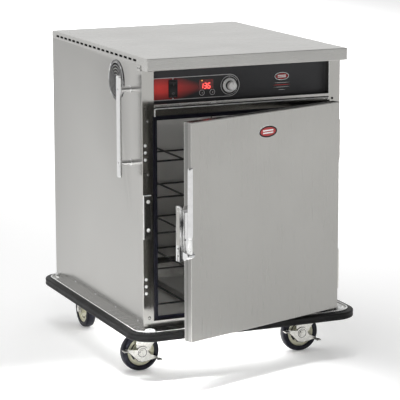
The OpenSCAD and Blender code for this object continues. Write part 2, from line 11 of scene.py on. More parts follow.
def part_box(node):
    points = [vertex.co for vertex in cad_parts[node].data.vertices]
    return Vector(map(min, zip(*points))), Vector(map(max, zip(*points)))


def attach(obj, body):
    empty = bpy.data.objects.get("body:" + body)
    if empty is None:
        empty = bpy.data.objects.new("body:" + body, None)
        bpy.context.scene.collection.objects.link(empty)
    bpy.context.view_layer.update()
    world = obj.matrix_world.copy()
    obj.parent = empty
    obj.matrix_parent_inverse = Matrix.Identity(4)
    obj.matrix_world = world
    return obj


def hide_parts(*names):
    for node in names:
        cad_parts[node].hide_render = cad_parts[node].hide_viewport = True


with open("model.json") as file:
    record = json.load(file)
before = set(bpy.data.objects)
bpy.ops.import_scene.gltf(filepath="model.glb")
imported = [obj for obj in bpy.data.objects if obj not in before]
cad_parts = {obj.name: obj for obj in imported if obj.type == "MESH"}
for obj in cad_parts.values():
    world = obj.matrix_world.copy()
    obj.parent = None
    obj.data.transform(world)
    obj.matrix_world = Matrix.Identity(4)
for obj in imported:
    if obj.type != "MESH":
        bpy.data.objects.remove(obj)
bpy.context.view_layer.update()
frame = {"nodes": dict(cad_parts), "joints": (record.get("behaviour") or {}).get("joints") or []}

scene = bpy.context.scene
scene.view_settings.view_transform = "Standard"
scene.view_settings.look = "None"

MM = 0.001
FRONT_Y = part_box("front_frame")[0].y
JOINTS = {j["name"]: j for j in frame["joints"]}
CABINET = Matrix.Translation((0, FRONT_Y, 0))
WELD = 2e-6
ON_PLANE = 2e-5
ENDS_X = {"-x", "+x"}
ENDS_Z = {"-z", "+z"}
OVERLAY_GLOW_RUN = 0.175
BADGE = ["satin", "enamel_dark", "enamel"]


def at(x, y, z):
    """Point from millimetres: x from the middle, y behind the posts' plane, z above the floor."""
    return Vector((x * MM, FRONT_Y + y * MM, z * MM))


# ---- Camera, floor and light ----

CAMERA_AT = (-2.56118, -5.76024, 1.77119)
CAMERA_YAW = 23.7937
CAMERA_PITCH = 11.4456
CAMERA_ROLL = -0.118
LENS_MM = 175.172
WORLD_BRIGHT_SIDE = (-0.1, 0.85, 0.45)
WORLD_DIM = 0.1
WORLD_BRIGHT = 0.86
FLOOR_GLOW = 0.22
FLOOR_COLOUR = (0.93, 0.93, 0.93)
FLOOR_HALF = 60  # metres


def add_object(name, data):
    item = bpy.data.objects.new(name, data)
    scene.collection.objects.link(item)
    return item


def mesh_of(name, bm):
    """Mesh data from a finished bmesh, which is freed."""
    mesh = bpy.data.meshes.new(name)
    bm.to_mesh(mesh)
    bm.free()
    return mesh


def add_camera():
    data = bpy.data.cameras.new("camera")
    data.lens = LENS_MM
    data.sensor_width = 36
    data.clip_start = 0.1
    data.clip_end = 200
    camera = add_object("camera", data)
    camera.location = CAMERA_AT
    tilt = Matrix.Rotation(math.radians(90 - CAMERA_PITCH), 4, "X")
    camera.rotation_euler = (turn_z(-CAMERA_YAW) @ tilt @ turn_z(CAMERA_ROLL)).to_euler()
    scene.camera = camera


def area_light(name, where, target, size, power, spread=180, mirrored=False):
    data = bpy.data.lights.new(name, "AREA")
    data.shape = "RECTANGLE"
    data.size, data.size_y = size
    data.energy = power
    data.spread = math.radians(spread)
    light = add_object(name, data)
    light.location = where
    aim = Vector(target) - Vector(where)
    light.rotation_euler = aim.to_track_quat("-Z", "Y").to_euler()
    light.visible_camera = False
    light.visible_glossy = mirrored


def add_stage():
    bm = bmesh.new()
    bmesh.ops.create_grid(bm, x_segments=2, y_segments=2, size=FLOOR_HALF)
    floor = add_object("floor", mesh_of("floor", bm))
    glow = {"Emission_Color": (1, 1, 1, 1), "Emission_Strength": FLOOR_GLOW}
    floor.data.materials.append(Nodes("floor", 0, 0.9, FLOOR_COLOUR, Specular_IOR_Level=0, **glow).material)

    add_world()
    area_light("key", (-0.6, -0.2, 4.6), (-0.3, 0, 0), (2, 2), 40)
    area_light("front", (-0.55, -0.66, 1.7), (-0.55, -0.54, 0), (1.1, 0.25), 8, 35)
    area_light("backdrop", (3, 8, 5), (3, 8, 0), (2.5, 12), 250, 60)
    area_light("underside", (0, 0.1, 0.128), (0, 0.1, 0), (0.45, 0.6), 1.9, 150)
    area_light("interior", (0, -0.19, 0.79), (0, 0.3, 0.3), (0.5, 0.05), 0.34, 180, True)


def add_world():
    """Soft white surroundings, brighter behind and above the object than in front of it."""
    world = bpy.data.worlds.new("world")
    world.use_nodes = True
    tree = world.node_tree
    background = tree.nodes["Background"]
    coords = tree.nodes.new("ShaderNodeTexCoord")
    dot = tree.nodes.new("ShaderNodeVectorMath")
    dot.operation = "DOT_PRODUCT"
    tree.links.new(coords.outputs["Generated"], dot.inputs[0])
    dot.inputs[1].default_value = Vector(WORLD_BRIGHT_SIDE).normalized()
    ramp = tree.nodes.new("ShaderNodeMapRange")
    ramp.interpolation_type = "SMOOTHSTEP"
    tree.links.new(dot.outputs["Value"], ramp.inputs["Value"])
    limits = {"From Min": -0.9, "From Max": 0.9, "To Min": WORLD_DIM, "To Max": WORLD_BRIGHT}
    for socket, value in limits.items():
        ramp.inputs[socket].default_value = value
    tree.links.new(ramp.outputs["Result"], background.inputs["Strength"])
    background.inputs["Color"].default_value = (1, 1, 1, 1)
    scene.world = world


# ---- Node helpers for materials ----


class Nodes:
    """Short names for building one material's nodes."""

    def __init__(self, name, metallic, roughness, colour, **sockets):
        self.material = bpy.data.materials.new(name)
        self.material.use_nodes = True
        self.tree = self.material.node_tree
        self.shader = self.tree.nodes["Principled BSDF"]
        self.set(self.shader, "Metallic", metallic)
        self.surface((*colour, 1), roughness)
        for socket, value in sockets.items():
            self.set(self.shader, socket.replace("_", " "), value)
        self.coords = self.add("ShaderNodeTexCoord").outputs["Object"]

    def add(self, kind, inputs=(), **settings):
        """New node with its settings and inputs."""
        node = self.tree.nodes.new(kind)
        for key, value in settings.items():
            setattr(node, key, value)
        for socket, value in dict(inputs).items():
            self.set(node, socket, value)
        return node

    def set(self, node, socket, value):
        if isinstance(value, bpy.types.NodeSocket):
            self.tree.links.new(value, node.inputs[socket])
        else:
            node.inputs[socket].default_value = value

    def surface(self, colour, roughness):
        self.set(self.shader, "Base Color", colour)
        self.set(self.shader, "Roughness", roughness)

    def noise(self, scale, detail=3, stretch=(1, 1, 1)):
        place = {"Vector": self.coords, "Scale": [scale * s for s in stretch]}
        mapping = self.add("ShaderNodeMapping", place)
        inputs = {"Vector": mapping.outputs["Vector"], "Scale": 1, "Detail": detail, "Roughness": 0.55}
        return self.add("ShaderNodeTexNoise", inputs).outputs["Fac"]

    def ramp(self, value, low, high, to_low=0, to_high=1):
        inputs = {"Value": value, "From Min": low, "From Max": high, "To Min": to_low, "To Max": to_high}
        return self.add("ShaderNodeMapRange", inputs, clamp=True).outputs["Result"]

    def math(self, operation, a, b=0):
        return self.add("ShaderNodeMath", {0: a, 1: b}, operation=operation).outputs["Value"]

    def mix(self, factor, a, b):
        a, b = (c if isinstance(c, bpy.types.NodeSocket) else (*c, 1) for c in (a, b))
        return self.add("ShaderNodeMix", {0: factor, 6: a, 7: b}, data_type="RGBA").outputs[2]

    def vary(self, value, colour, low, high, start=0.3, stop=0.7):
        """A colour that moves between two strengths of itself."""
        return self.mix(self.ramp(value, start, stop), scaled(colour, low), scaled(colour, high))

    def bump(self, height, strength, distance):
        inputs = {"Height": height, "Strength": strength, "Distance": distance}
        self.set(self.shader, "Normal", self.add("ShaderNodeBump", inputs).outputs["Normal"])

    def wear_and_sheen(self, share):
        """Paler edges from the curvature of the mesh, up to a share: partly edge wear, partly a painted
        highlight along the edges.
        """
        curve = self.add("ShaderNodeNewGeometry").outputs["Pointiness"]
        return self.math("MULTIPLY", self.ramp(curve, 0.52, 0.62), share)


def scaled(colour, factor):
    return tuple(min(1, c * factor) for c in colour)


def brushed(name, colour, rough, grain, vary=0.02, smudge=0.02, bump=0.012, fade=None):
    """Brushed sheet metal. Grain is the axis of the scratches; fade darkens one end of the sheet as painted
    shade.
    """
    n = Nodes(name, 1, rough, colour)
    along = {"x": (0.02, 1, 1), "y": (1, 0.02, 1), "z": (1, 1, 0.02)}[grain]
    fine = n.noise(900, 2, along)
    broad = n.noise(140, 3, along)
    blotch = n.noise(5, 4)
    shade = n.math("ADD", n.math("MULTIPLY", fine, 0.5), n.math("MULTIPLY", broad, 0.5))
    tone = n.vary(shade, colour, 1 - vary, 1 + vary, 0.35, 0.65)
    stain_and_shade = n.mix(n.ramp(blotch, 0.35, 0.75), tone, n.mix(0.5, tone, scaled(colour, 0.86)))
    # Painted shade: the sheet is darkened towards one end along an axis, on top of its real stains.
    if fade:
        axis, shaded_at, unshaded_at, shaded_factor = fade
        place = n.add("ShaderNodeSeparateXYZ", {"Vector": n.coords})
        stain_and_shade = n.mix(n.ramp(place.outputs[axis], shaded_at, unshaded_at), scaled(colour, shaded_factor), stain_and_shade)
    base = n.ramp(shade, 0.3, 0.7, rough - 0.05, rough + 0.06)
    smear = n.ramp(blotch, 0.3, 0.7, -smudge, smudge)
    # Paler convex edges: partly wear, partly a painted edge highlight.
    n.surface(n.mix(n.wear_and_sheen(0.35), stain_and_shade, (0.86, 0.85, 0.82)), n.math("ADD", base, smear))
    n.bump(shade, bump, 0.0004)
    return n.material


def polished(name, colour, rough, vary=0.06, metallic=1):
    """Plated or polished metal with faint cloudy marks and fine scratches."""
    n = Nodes(name, metallic, rough, colour)
    cloud = n.noise(60, 4)
    scratch = n.noise(700, 2, (1, 0.15, 0.4))
    worn = n.ramp(n.math("ADD", cloud, scratch), 0.7, 1.3, rough * 0.7, rough * 1.5)
    n.surface(n.vary(cloud, colour, 1 - vary, 1 + vary), worn)
    n.bump(scratch, 0.06, 0.0003)
    return n.material


def mottled(name, dark, light, rough):
    """Bright plating with dark, wavy marks painted in: a painted reflection."""
    n = Nodes(name, 1, rough, light)
    wave = n.noise(110, 3, (1, 1, 0.14))
    n.surface(n.mix(n.ramp(wave, 0.42, 0.58), dark, light), n.ramp(wave, 0.3, 0.7, rough * 1.4, rough * 0.7))
    n.bump(wave, 0.12, 0.0006)
    return n.material


def moulded(name, colour, rough, grain=900, bump=0.18, vary=0.12, lift=1.8, **sockets):
    """Moulded plastic or rubber with a fine texture and paler edges, partly wear and partly a painted edge
    highlight.
    """
    n = Nodes(name, 0, rough, colour, **sockets)
    fine = n.noise(grain, 2)
    cloud = n.noise(14, 4)
    tone = n.vary(cloud, colour, 1 - vary, 1 + vary)
    grit = n.ramp(n.math("ADD", cloud, fine), 0.7, 1.3, rough - 0.08, rough + 0.1)
    # Paler convex edges: partly wear, partly a painted edge highlight.
    n.surface(n.mix(n.wear_and_sheen(0.5), tone, scaled(colour, lift)), grit)
    n.bump(fine, bump, 0.0004)
    return n.material


def glowing(name, colour, strength):
    n = Nodes(name, 0, 0.4, scaled(colour, 0.5), Emission_Color=(*colour, 1), Emission_Strength=strength)
    glow = n.noise(400, 2)
    n.set(n.shader, "Base Color", n.mix(glow, scaled(colour, 0.4), scaled(colour, 0.7)))
    return n.material


def overlay_material():
    """Printed polyester overlay: black, with a red glow that narrows from the left end."""
    low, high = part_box("control_overlay")
    n = Nodes("printed_overlay", 0, 0.42, (0.02, 0.02, 0.022))
    parts = n.add("ShaderNodeSeparateXYZ", {"Vector": n.coords})
    middle = (low.z + high.z) / 2
    half = (high.z - low.z) / 2
    run = n.ramp(parts.outputs["X"], low.x, low.x + OVERLAY_GLOW_RUN)
    off = n.math("DIVIDE", n.math("ABSOLUTE", n.math("SUBTRACT", parts.outputs["Z"], middle)), half)
    width = n.ramp(run, 0.25, 0.95, 1.5, 0.35)
    band = n.ramp(n.math("DIVIDE", off, width), 0.2, 1, 1, 0)
    fade = n.ramp(run, 0.15, 1, 1, 0)
    glow = n.math("MULTIPLY", band, n.math("POWER", fade, 0.8))
    edge = n.ramp(off, 0.2, 1, 1, 0.72)
    red = n.mix(edge, (0.62, 0.02, 0.02), (1, 0.06, 0.05))
    tone = n.mix(glow, (0.022, 0.022, 0.024), red)
    dust = n.ramp(n.noise(30, 3), 0.3, 0.8, 0, 0.12)
    grain = n.noise(1500, 2)
    n.surface(n.mix(dust, tone, (0.05, 0.05, 0.05)), n.ramp(grain, 0.3, 0.7, 0.36, 0.5))
    n.bump(grain, 0.12, 0.0002)
    return n.material


def enamel(name, colour):
    """Domed enamel of a badge."""
    n = Nodes(name, 0, 0.18, colour, Coat_Weight=0.6, Coat_Roughness=0.08)
    cloud = n.noise(90, 4)
    n.surface(n.vary(cloud, colour, 0.85, 1.15), n.ramp(cloud, 0.3, 0.7, 0.14, 0.26))
    return n.material


def fibre(name, colour):
    n = Nodes(name, 0, 0.9, colour)
    strands = n.noise(320, 5, (1, 0.2, 1))
    n.surface(n.vary(strands, colour, 0.6, 1.2), n.ramp(strands, 0.3, 0.7, 0.8, 0.98))
    n.bump(strands, 0.7, 0.002)
    return n.material


MAT = {
    # Side walls: a darker copy of the cabinet's steel as painted shade, darker still towards the back (fade
    # along Y), also painted shade.
    "wall": brushed("wall_steel_painted_shade", (0.31, 0.305, 0.291), 0.2, "z", fade=("Y", 0.52, 0.2, 0.72)),
    "front": brushed("frame_steel", (0.49, 0.482, 0.458), 0.12, "z"),
    # The door's steel darkens towards the bottom (fade along Z): painted shade.
    "door": brushed(
        "door_steel", (0.465, 0.458, 0.436), 0.24, "z", 0.012, 0.012, 0.006, ("Z", 0.15, 0.72, 0.72)),
    # Darker copies of the door steel for the door's side and end faces: painted shade, deeper towards the
    # back.
    "edge": brushed("door_side_shade_steel", (0.27, 0.266, 0.256), 0.22, "z"),
    "edge_deep_shade": brushed("door_side_deep_shade_steel", (0.15, 0.148, 0.144), 0.22, "z"),
    # Darker copy of the steel for the strike plate: painted shade.
    "shade": brushed("strike_steel_painted_shade", (0.16, 0.158, 0.154), 0.22, "z"),
    "top": brushed("top_steel", (0.55, 0.545, 0.525), 0.28, "x"),
    "deck": brushed("deck_steel", (0.46, 0.46, 0.45), 0.24, "x"),
    "liner": brushed("liner_steel", (0.88, 0.875, 0.86), 0.36, "z", smudge=0.05),
    "baffle": brushed("baffle_steel", (0.74, 0.735, 0.72), 0.36, "x"),
    "chrome": polished("chrome_plate", (0.8, 0.8, 0.8), 0.1),
    "spun": polished("spun_aluminium", (0.97, 0.97, 0.96), 0.3, 0.03, 0.15),
    "satin": polished("satin_plate", (0.86, 0.86, 0.85), 0.3, 0.05, 0.45),
    # Dark wavy marks on bright plating: a painted reflection.
    "reflection_mottle": mottled("plating_painted_reflection", (0.05, 0.05, 0.052), (0.86, 0.86, 0.85), 0.14),
    "wire": polished("nickel_wire", (0.06, 0.06, 0.06), 0.3),
    "zinc": polished("zinc_plate", (0.72, 0.71, 0.67), 0.26, 0.1),
    "screw": polished("screw_steel", (0.74, 0.74, 0.74), 0.18),
    "panel": moulded("panel_coat", (0.026, 0.026, 0.029), 0.46, 1100, 0.1),
    "mark": moulded("dim_print", (0.16, 0.16, 0.16), 0.5, 1200, 0.05),
    "print": moulded("grey_print", (0.56, 0.56, 0.56), 0.5, 1200, 0.05),
    "print_red": moulded("red_print", (0.55, 0.04, 0.04), 0.5, 1200, 0.05),
    "overlay": overlay_material(),
    "lens": moulded("smoked_lens", (0.16, 0.008, 0.008), 0.22, 300, 0.02, Coat_Weight=0.3),
    "digit": glowing("lit_segment", (1, 0.08, 0.07), 3.2),
    "lamp": glowing("lit_lamp", (1, 0.42, 0.08), 1.5),
    "black": moulded("black_plastic", (0.014, 0.014, 0.015), 0.34, 1000, 0.1),
    "button": moulded("button_film", (0.04, 0.022, 0.022), 0.42, 1200, 0.08),
    "matt": moulded("matt_black", (0.003, 0.003, 0.003), 0.9, 700, 0.1, Specular_IOR_Level=0),
    "gasket": moulded("gasket_rubber", (0.005, 0.005, 0.009), 0.5, 700, 0.2, Specular_IOR_Level=0.16),
    "tyre": moulded("tyre_rubber", (0.006, 0.006, 0.014), 0.42, 260, 0.22, 0.3, Specular_IOR_Level=0.26),
    "bumper": moulded("bumper_vinyl", (0.01, 0.01, 0.01), 0.46, 420, 0.2, 0.2, Specular_IOR_Level=0.14),
    "hub": moulded("hub_plastic", (0.84, 0.82, 0.64), 0.4, 500, 0.15, vary=0.05, lift=1.15),
    "enamel": enamel("red_enamel", (0.42, 0.02, 0.022)),
    "enamel_dark": moulded("dark_enamel", (0.008, 0.007, 0.007), 0.5, 500, 0.05, Specular_IOR_Level=0.15),
    "fibre": fibre("glass_fibre", (0.62, 0.5, 0.22)),
    "board": moulded("controller_case", (0.05, 0.09, 0.05), 0.5, 500, 0.3),
    "sheath": polished("heater_sheath", (0.2, 0.17, 0.15), 0.42, 0.2),
    "motor": moulded("motor_paint", (0.035, 0.036, 0.04), 0.4, 600, 0.2),
}


# ---- Mesh helpers ----


def merge(target, source, matrix=None, index=0):
    """Adds one mesh to another, with a material number for its faces."""
    if matrix is not None:
        bmesh.ops.transform(source, matrix=matrix, verts=source.verts)
    for face in source.faces:
        face.material_index = index
    mesh = mesh_of("part", source)
    target.from_mesh(mesh)
    bpy.data.meshes.remove(mesh)


def mm(points):
    """Points given in millimetres, in metres."""
    return [tuple(c * MM for c in point) for point in points]


def round_edges(bm, edges, width, segments=2, clamp=True):
    if edges and width > 0:
        bmesh.ops.bevel(
            bm, geom=edges, offset=width, segments=segments, profile=0.5,
            affect="EDGES", clamp_overlap=clamp,
        )


def sharp(edge, degrees=40):
    return len(edge.link_faces) == 2 and edge.calc_face_angle(0) > math.radians(degrees)


def soften(bm, degrees, width, segments=2):
    """Rounds every edge that is sharper than an angle, by a width in millimetres."""
    round_edges(bm, [e for e in bm.edges if sharp(e, degrees)], width * MM, segments)


def block(low, high, bevel=0, segments=2):
    bm = bmesh.new()
    bmesh.ops.create_cube(bm, size=1)
    for v in bm.verts:
        v.co = Vector(low[i] + (v.co[i] + 0.5) * (high[i] - low[i]) for i in range(3))
    round_edges(bm, bm.edges[:], bevel, segments)
    return bm


def add_block(bm, low, high, bevel, place=None, look=0, segments=1):
    """Adds a block, its corners and bevel in millimetres."""
    merge(bm, block(*mm((low, high)), bevel * MM, segments), place, look)


def thicken(bm, depth):
    """Raises flat faces along Z into a solid."""
    made = bmesh.ops.extrude_face_region(bm, geom=bm.faces[:])
    top = [g for g in made["geom"] if isinstance(g, bmesh.types.BMVert)]
    bmesh.ops.translate(bm, vec=(0, 0, depth), verts=top)
    bmesh.ops.recalc_face_normals(bm, faces=bm.faces)


def prism(outline, depth, bevel=0, segments=2, sides=0):
    """Outline in XY, raised from 0 to depth, with rounded rims and, if asked, rounded corners."""
    bm = bmesh.new()
    bm.faces.new([bm.verts.new((x, y, 0)) for x, y in outline])
    thicken(bm, depth)
    if sides:
        upright = [e for e in bm.edges if abs(e.verts[0].co.z - e.verts[1].co.z) > depth / 2]
        round_edges(bm, [e for e in upright if sharp(e, 20)], sides, 3)
    rims = [e for e in bm.edges if abs(e.verts[0].co.z - e.verts[1].co.z) < depth / 4]
    round_edges(bm, [e for e in rims if sharp(e)], bevel, segments)
    return bm


def add_prism(bm, outline, depth, bevel, place, look=0, segments=2, sides=0):
    """Adds a raised outline, its sizes in millimetres."""
    merge(bm, prism(mm(outline), depth * MM, bevel * MM, segments, sides * MM), place, look)


def in_pairs(rings, closed):
    """Each ring with the next, and the last with the first if they close."""
    return list(zip(rings, rings[1:])) + [(rings[-1], rings[0])] * closed


def lathe(profile, segments=48, closed=False):
    """Profile of (radius, height) points turned about Z."""
    bm = bmesh.new()
    rings = []
    for radius, height in profile:
        if radius < 1e-7:
            rings.append([bm.verts.new((0, 0, height))])
            continue
        rings.append([bm.verts.new((x, y, height)) for x, y in circle(radius, segments)])
    for a, b in in_pairs(rings, closed):
        for i in range(segments):
            j = (i + 1) % segments
            ring = [a[i % len(a)], a[j % len(a)], b[j % len(b)], b[i % len(b)]]
            face = list(dict.fromkeys(ring))
            if len(face) > 2:
                bm.faces.new(face)
    bmesh.ops.recalc_face_normals(bm, faces=bm.faces)
    return bm


def turned(bm, profile, place, look=0, segments=48, closed=False):
    """Adds a lathe-turned part, its profile in millimetres."""
    merge(bm, lathe(mm(profile), segments, closed), place, look)


def loft(rings, closed=False):
    """Skin over rings that have the same number of points."""
    bm = bmesh.new()
    made = [[bm.verts.new(p) for p in ring] for ring in rings]
    for a, b in in_pairs(made, closed):
        for i in range(len(a)):
            j = (i + 1) % len(a)
            bm.faces.new([a[i], a[j], b[j], b[i]])
    if not closed:
        bm.faces.new(made[0])
        bm.faces.new(made[-1])
    bmesh.ops.recalc_face_normals(bm, faces=bm.faces)
    return bm


def directions(points, closed):
    """Unit vector along a path at each of its points."""
    last = len(points) - 1
    for i, point in enumerate(points):
        before = points[i - 1] if closed or i > 0 else point
        after = points[(i + 1) % len(points)] if closed or i < last else point
        yield (after - before).normalized()


def tube(points, radius, sides=10, closed=False):
    """Round wire through points."""
    points = [Vector(p) for p in points]
    rings = []
    side = None
    for point, along in zip(points, directions(points, closed)):
        if side is None:
            side = along.orthogonal().normalized()
        side = (side - along * side.dot(along)).normalized()
        other = along.cross(side)
        rings.append([point + c * side + s * other for c, s in circle(radius, sides)])
    return loft(rings, closed)


def arc(cx, cy, radius, start, stop, steps):
    """Points of an arc, in degrees."""
    turns = [math.radians(start + (stop - start) * i / steps) for i in range(steps + 1)]
    return [(cx + radius * math.cos(t), cy + radius * math.sin(t)) for t in turns]


def circle(radius, steps, cx=0, cy=0):
    """Points of a whole turn."""
    return arc(cx, cy, radius, 0, 360, steps)[:-1]


def round_rect(x0, y0, x1, y1, radius, steps=6):
    points = []
    for cx, cy, start in (
        (x1 - radius, y1 - radius, 0), (x0 + radius, y1 - radius, 90),
        (x0 + radius, y0 + radius, 180), (x1 - radius, y0 + radius, 270),
    ):
        points += arc(cx, cy, radius, start, start + 90, steps)
    return points


def oval(half_w, half_h, steps=64):
    return [(half_w * c, half_h * s) for c, s in circle(1, steps)]


def beside(points, closed):
    """Each point of a path with the unit vector to its left."""
    along = directions([Vector((x, y, 0)) for x, y in points], closed)
    return [(x, y, -way.y, way.x) for (x, y), way in zip(points, along)]


def ribbon(points, width, height, closed=False):
    """Flat printed line through points in XY, raised from Z = 0."""
    half = width / 2
    rings = []
    for x, y, nx, ny in beside(points, closed):
        left, right = (x + nx * half, y + ny * half), (x - nx * half, y - ny * half)
        rings.append([(*right, 0), (*left, 0), (*left, height), (*right, height)])
    return loft(rings, closed)


def basis(x, y, z, origin=(0, 0, 0)):
    """Matrix that takes local axes to these directions at an origin."""
    m = Matrix((x, y, z)).transposed().to_4x4()
    m.translation = Vector(origin)
    return m


def turn_z(degrees):
    return Matrix.Rotation(math.radians(degrees), 4, "Z")


def facing_front(origin):
    return basis((1, 0, 0), (0, 0, 1), (0, -1, 0), origin)


def facing_left(origin):
    return basis((0, -1, 0), (0, 0, 1), (-1, 0, 0), origin)


def facing_right(origin):
    return basis((0, 1, 0), (0, 0, 1), (1, 0, 0), origin)


def facing_back(origin):
    return basis((-1, 0, 0), (0, 0, 1), (0, 1, 0), origin)


def make(name, bm, body, looks, replaces=(), matrix=None, angle=35):
    """Turns a mesh into a piece that rides on a body."""
    if matrix is not None:
        bmesh.ops.transform(bm, matrix=matrix, verts=bm.verts)
    bmesh.ops.recalc_face_normals(bm, faces=bm.faces)
    for face in bm.faces:
        face.smooth = True
    for edge in bm.edges:
        edge.smooth = not sharp(edge, angle)
    piece = add_object(name, mesh_of(name, bm))
    for look in [looks] if isinstance(looks, str) else looks:
        piece.data.materials.append(MAT[look])
    normals = piece.modifiers.new("normals", "WEIGHTED_NORMAL")
    normals.keep_sharp = True
    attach(piece, body)
    if replaces:
        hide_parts(*replaces)


def paint(look, *nodes):
    """Gives carried-over CAD nodes their material."""
    for node in nodes:
        slots = frame["nodes"][node].data.materials
        if not slots:
            slots.append(MAT[look])
        for i in range(len(slots)):
            slots[i] = MAT[look]


def corners_of(points):
    """Lowest and highest corner of the box round some points."""
    return [Vector(pick(p[i] for p in points) for i in range(3)) for pick in (min, max)]


def welded(node):
    """The CAD node's mesh, its corners joined."""
    bm = bmesh.new()
    bm.from_mesh(frame["nodes"][node].data)
    bmesh.ops.remove_doubles(bm, verts=bm.verts, dist=WELD)
    return bm


def copy_of(node):
    """A node's mesh with its flat faces joined, all in the first material."""
    bm = welded(node)
    bmesh.ops.dissolve_limit(bm, angle_limit=math.radians(0.5), verts=bm.verts, edges=bm.edges)
    for face in bm.faces:
        face.material_index = 0
    return bm


def sides_of(edge, box):
    """Sides of a box that an edge lies on, such as {"-x", "+z"}."""
    found = set()
    for sign, corner in zip("-+", box):
        for axis, value in zip("xyz", corner):
            if all(abs(getattr(v.co, axis) - value) < ON_PLANE for v in edge.verts):
                found.add(sign + axis)
    return found


def softened(node, name, look, width, pick, segments=3):
    """Stands for a sheet steel node, with some edges rounded: pick() gets the sides that an edge lies on."""
    bm = copy_of(node)
    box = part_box(node)
    edges = [e for e in bm.edges if sharp(e, 50) and pick(sides_of(e, box))]
    round_edges(bm, edges, width * MM, segments, False)
    make(name, bm, "cabinet", look, [node])


# ---- Body ----


def screw_head(radius, height, cross=0):
    """Low domed head on Z = 0, with a raised cross if it has a width."""
    steps = 6
    turns = [math.pi / 2 * i / steps for i in range(steps + 1)]
    rim = height * 0.25
    profile = [(0, 0), (radius, 0), (radius, rim)]
    profile += [(radius * math.cos(t), rim + (height - rim) * math.sin(t)) for t in turns[1:-1]]
    bm = lathe(profile + [(0, height)], 24)
    if cross:
        reach = radius * 0.62
        for angle in (0, 90):
            bar = block((-reach, -cross / 2, height * 0.9), (reach, cross / 2, height * 1.02))
            merge(bm, bar, turn_z(angle))
    return bm


def add_screw(bm, radius, height, place, look=0, cross=0):
    """Adds a domed head, its sizes in millimetres."""
    merge(bm, screw_head(radius * MM, height * MM, cross * MM), place, look)


def build_shell():
    softened("outer_shell", "shell_sheet", "wall", 0.5, lambda sides: "+y" in sides and sides & ENDS_X, 2)
    softened("front_frame", "front_frame_sheet", "front", 0.9, lambda sides: "-y" in sides)

    def bend(sides):
        side = sides & ENDS_X
        nose = "-y" in sides
        upright = side or nose or "+y" in sides
        return ("+z" in sides and upright) or (side and (nose or "+y" in sides)) or (nose and "-z" in sides)

    softened("top_cover", "top_cover_sheet", "top", 2.4, bend)


def build_header():
    """Folded ledge, tabs and bead across the front between the controls and the door."""
    bm = bmesh.new()

    def bar(low, high, bevel, look):
        add_block(bm, low, high, bevel, CABINET, look, 2)

    bar((-301.5, -2.4, 862.5), (301.5, 0.2, 872), 1, 0)
    # A black strip just under the ledge: a painted shadow.
    bar((-301.5, -0.5, 858.6), (301.5, 0.2, 862.5), 0.1, 1)
    for x in (-103.4, 114.7):
        bar((x - 9, -3.6, 864), (x + 9, -2, 867.4), 0.5, 2)
        # A black sliver just under each tab: a painted shadow.
        bar((x - 10, -2.6, 863), (x + 10, -2.2, 864), 0.1, 1)
    bead = [(-300, 834), (-300, 853)]
    bead += arc(-295.5, 853.5, 4.5, 180, 90, 5)
    bead += [(292, 858), (296, 857.6), (298, 856), (298.6, 853), (297.6, 850.5)]
    merge(bm, tube([at(x, -2, z) for x, z in bead], 1.7 * MM, 10), None, 2)
    merge(bm, tube([at(301.6, -0.8, z) for z in (869, 978)], 1.3 * MM, 8), None, 2)
    add_screw(bm, 4.2, 1.8, facing_front(at(314, 0, 854.6)), 1)
    for side, facing in ((-1, facing_left), (1, facing_right)):
        bar((side * 344.6 - 0.9, 4, 976), (side * 344.6 + 0.9, 30, 994), 0.5, 0)
        for y in (11, 23):
            add_screw(bm, 2.8, 1.2, facing(at(side * 345.2, y, 985)), 1)
    make("header_trim", bm, "cabinet", ["top", "black", "satin"])


def build_rivets():
    low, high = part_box("shell_rivets")
    bm = bmesh.new()
    sunk = 1.2 * MM
    for y in (48, 240, 426, 615, 768):
        for x, facing in ((low.x + sunk, facing_left), (high.x - sunk, facing_right)):
            add_screw(bm, 4, 1.3, facing((x, *at(0, y, 178).yz)))
    make("shell_rivet_heads", bm, "cabinet", "screw", ["shell_rivets"])


def build_plugs():
    bm = bmesh.new()
    for x, z, radius, height in plug_spots("hole_plugs"):
        wide = max(radius, 4.6)
        small = x > -330
        place = facing_front(at(x, 0, z))
        add_screw(bm, wide, height * 1.3, place, 2 if small else 0, 1 if small else 0)
        turned(bm, [(wide, 0), (wide + 0.9, 0), (wide + 0.9, 0.3), (wide, 0.3)], place, 1, 24, True)
    make("post_plugs", bm, "cabinet", ["satin", "black", "front"], ["hole_plugs"])


def plug_spots(node):
    """Centre, radius and height of each round solid of a node that faces the front, in millimetres."""
    bm = welded(node)
    found = []
    left = set(bm.verts)
    while left:
        island, queue = [], [left.pop()]
        while queue:
            v = queue.pop()
            island.append(v.co)
            near = {e.other_vert(v) for e in v.link_edges} & left
            left -= near
            queue += near
        (x0, y0, z0), (x1, y1, z1) = (corner / MM for corner in corners_of(island))
        found.append(((x0 + x1) / 2, (z0 + z1) / 2, (x1 - x0) / 2, y1 - y0))
    bm.free()
    return sorted(found)


def build_gasket():
    """Moulded profile, lofted round the opening from mitred corners."""
    low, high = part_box("gasket")
    width = 12.5 * MM
    x0, x1 = low.x + width, high.x - width
    z0, z1 = low.z + width, high.z - width
    profile = mm((
        (0, 12), (0, 4.4), (0.7, 2.2), (2.2, 0.7), (4.2, 0.1), (6.2, 0.5), (7.4, 1.8),
        (8, 2.9), (8.7, 2.4), (10, 1.9), (11.4, 2.3), (12.5, 3.4), (12.5, 12),
    ))
    rings = []
    for x, z, sx, sz in ((x0, z0, -1, -1), (x1, z0, 1, -1), (x1, z1, 1, 1), (x0, z1, -1, 1)):
        rings.append([(x + sx * u, low.y + v, z + sz * u) for u, v in profile])
    make("gasket_profile", loft(rings, closed=True), "cabinet", "gasket", ["gasket"])


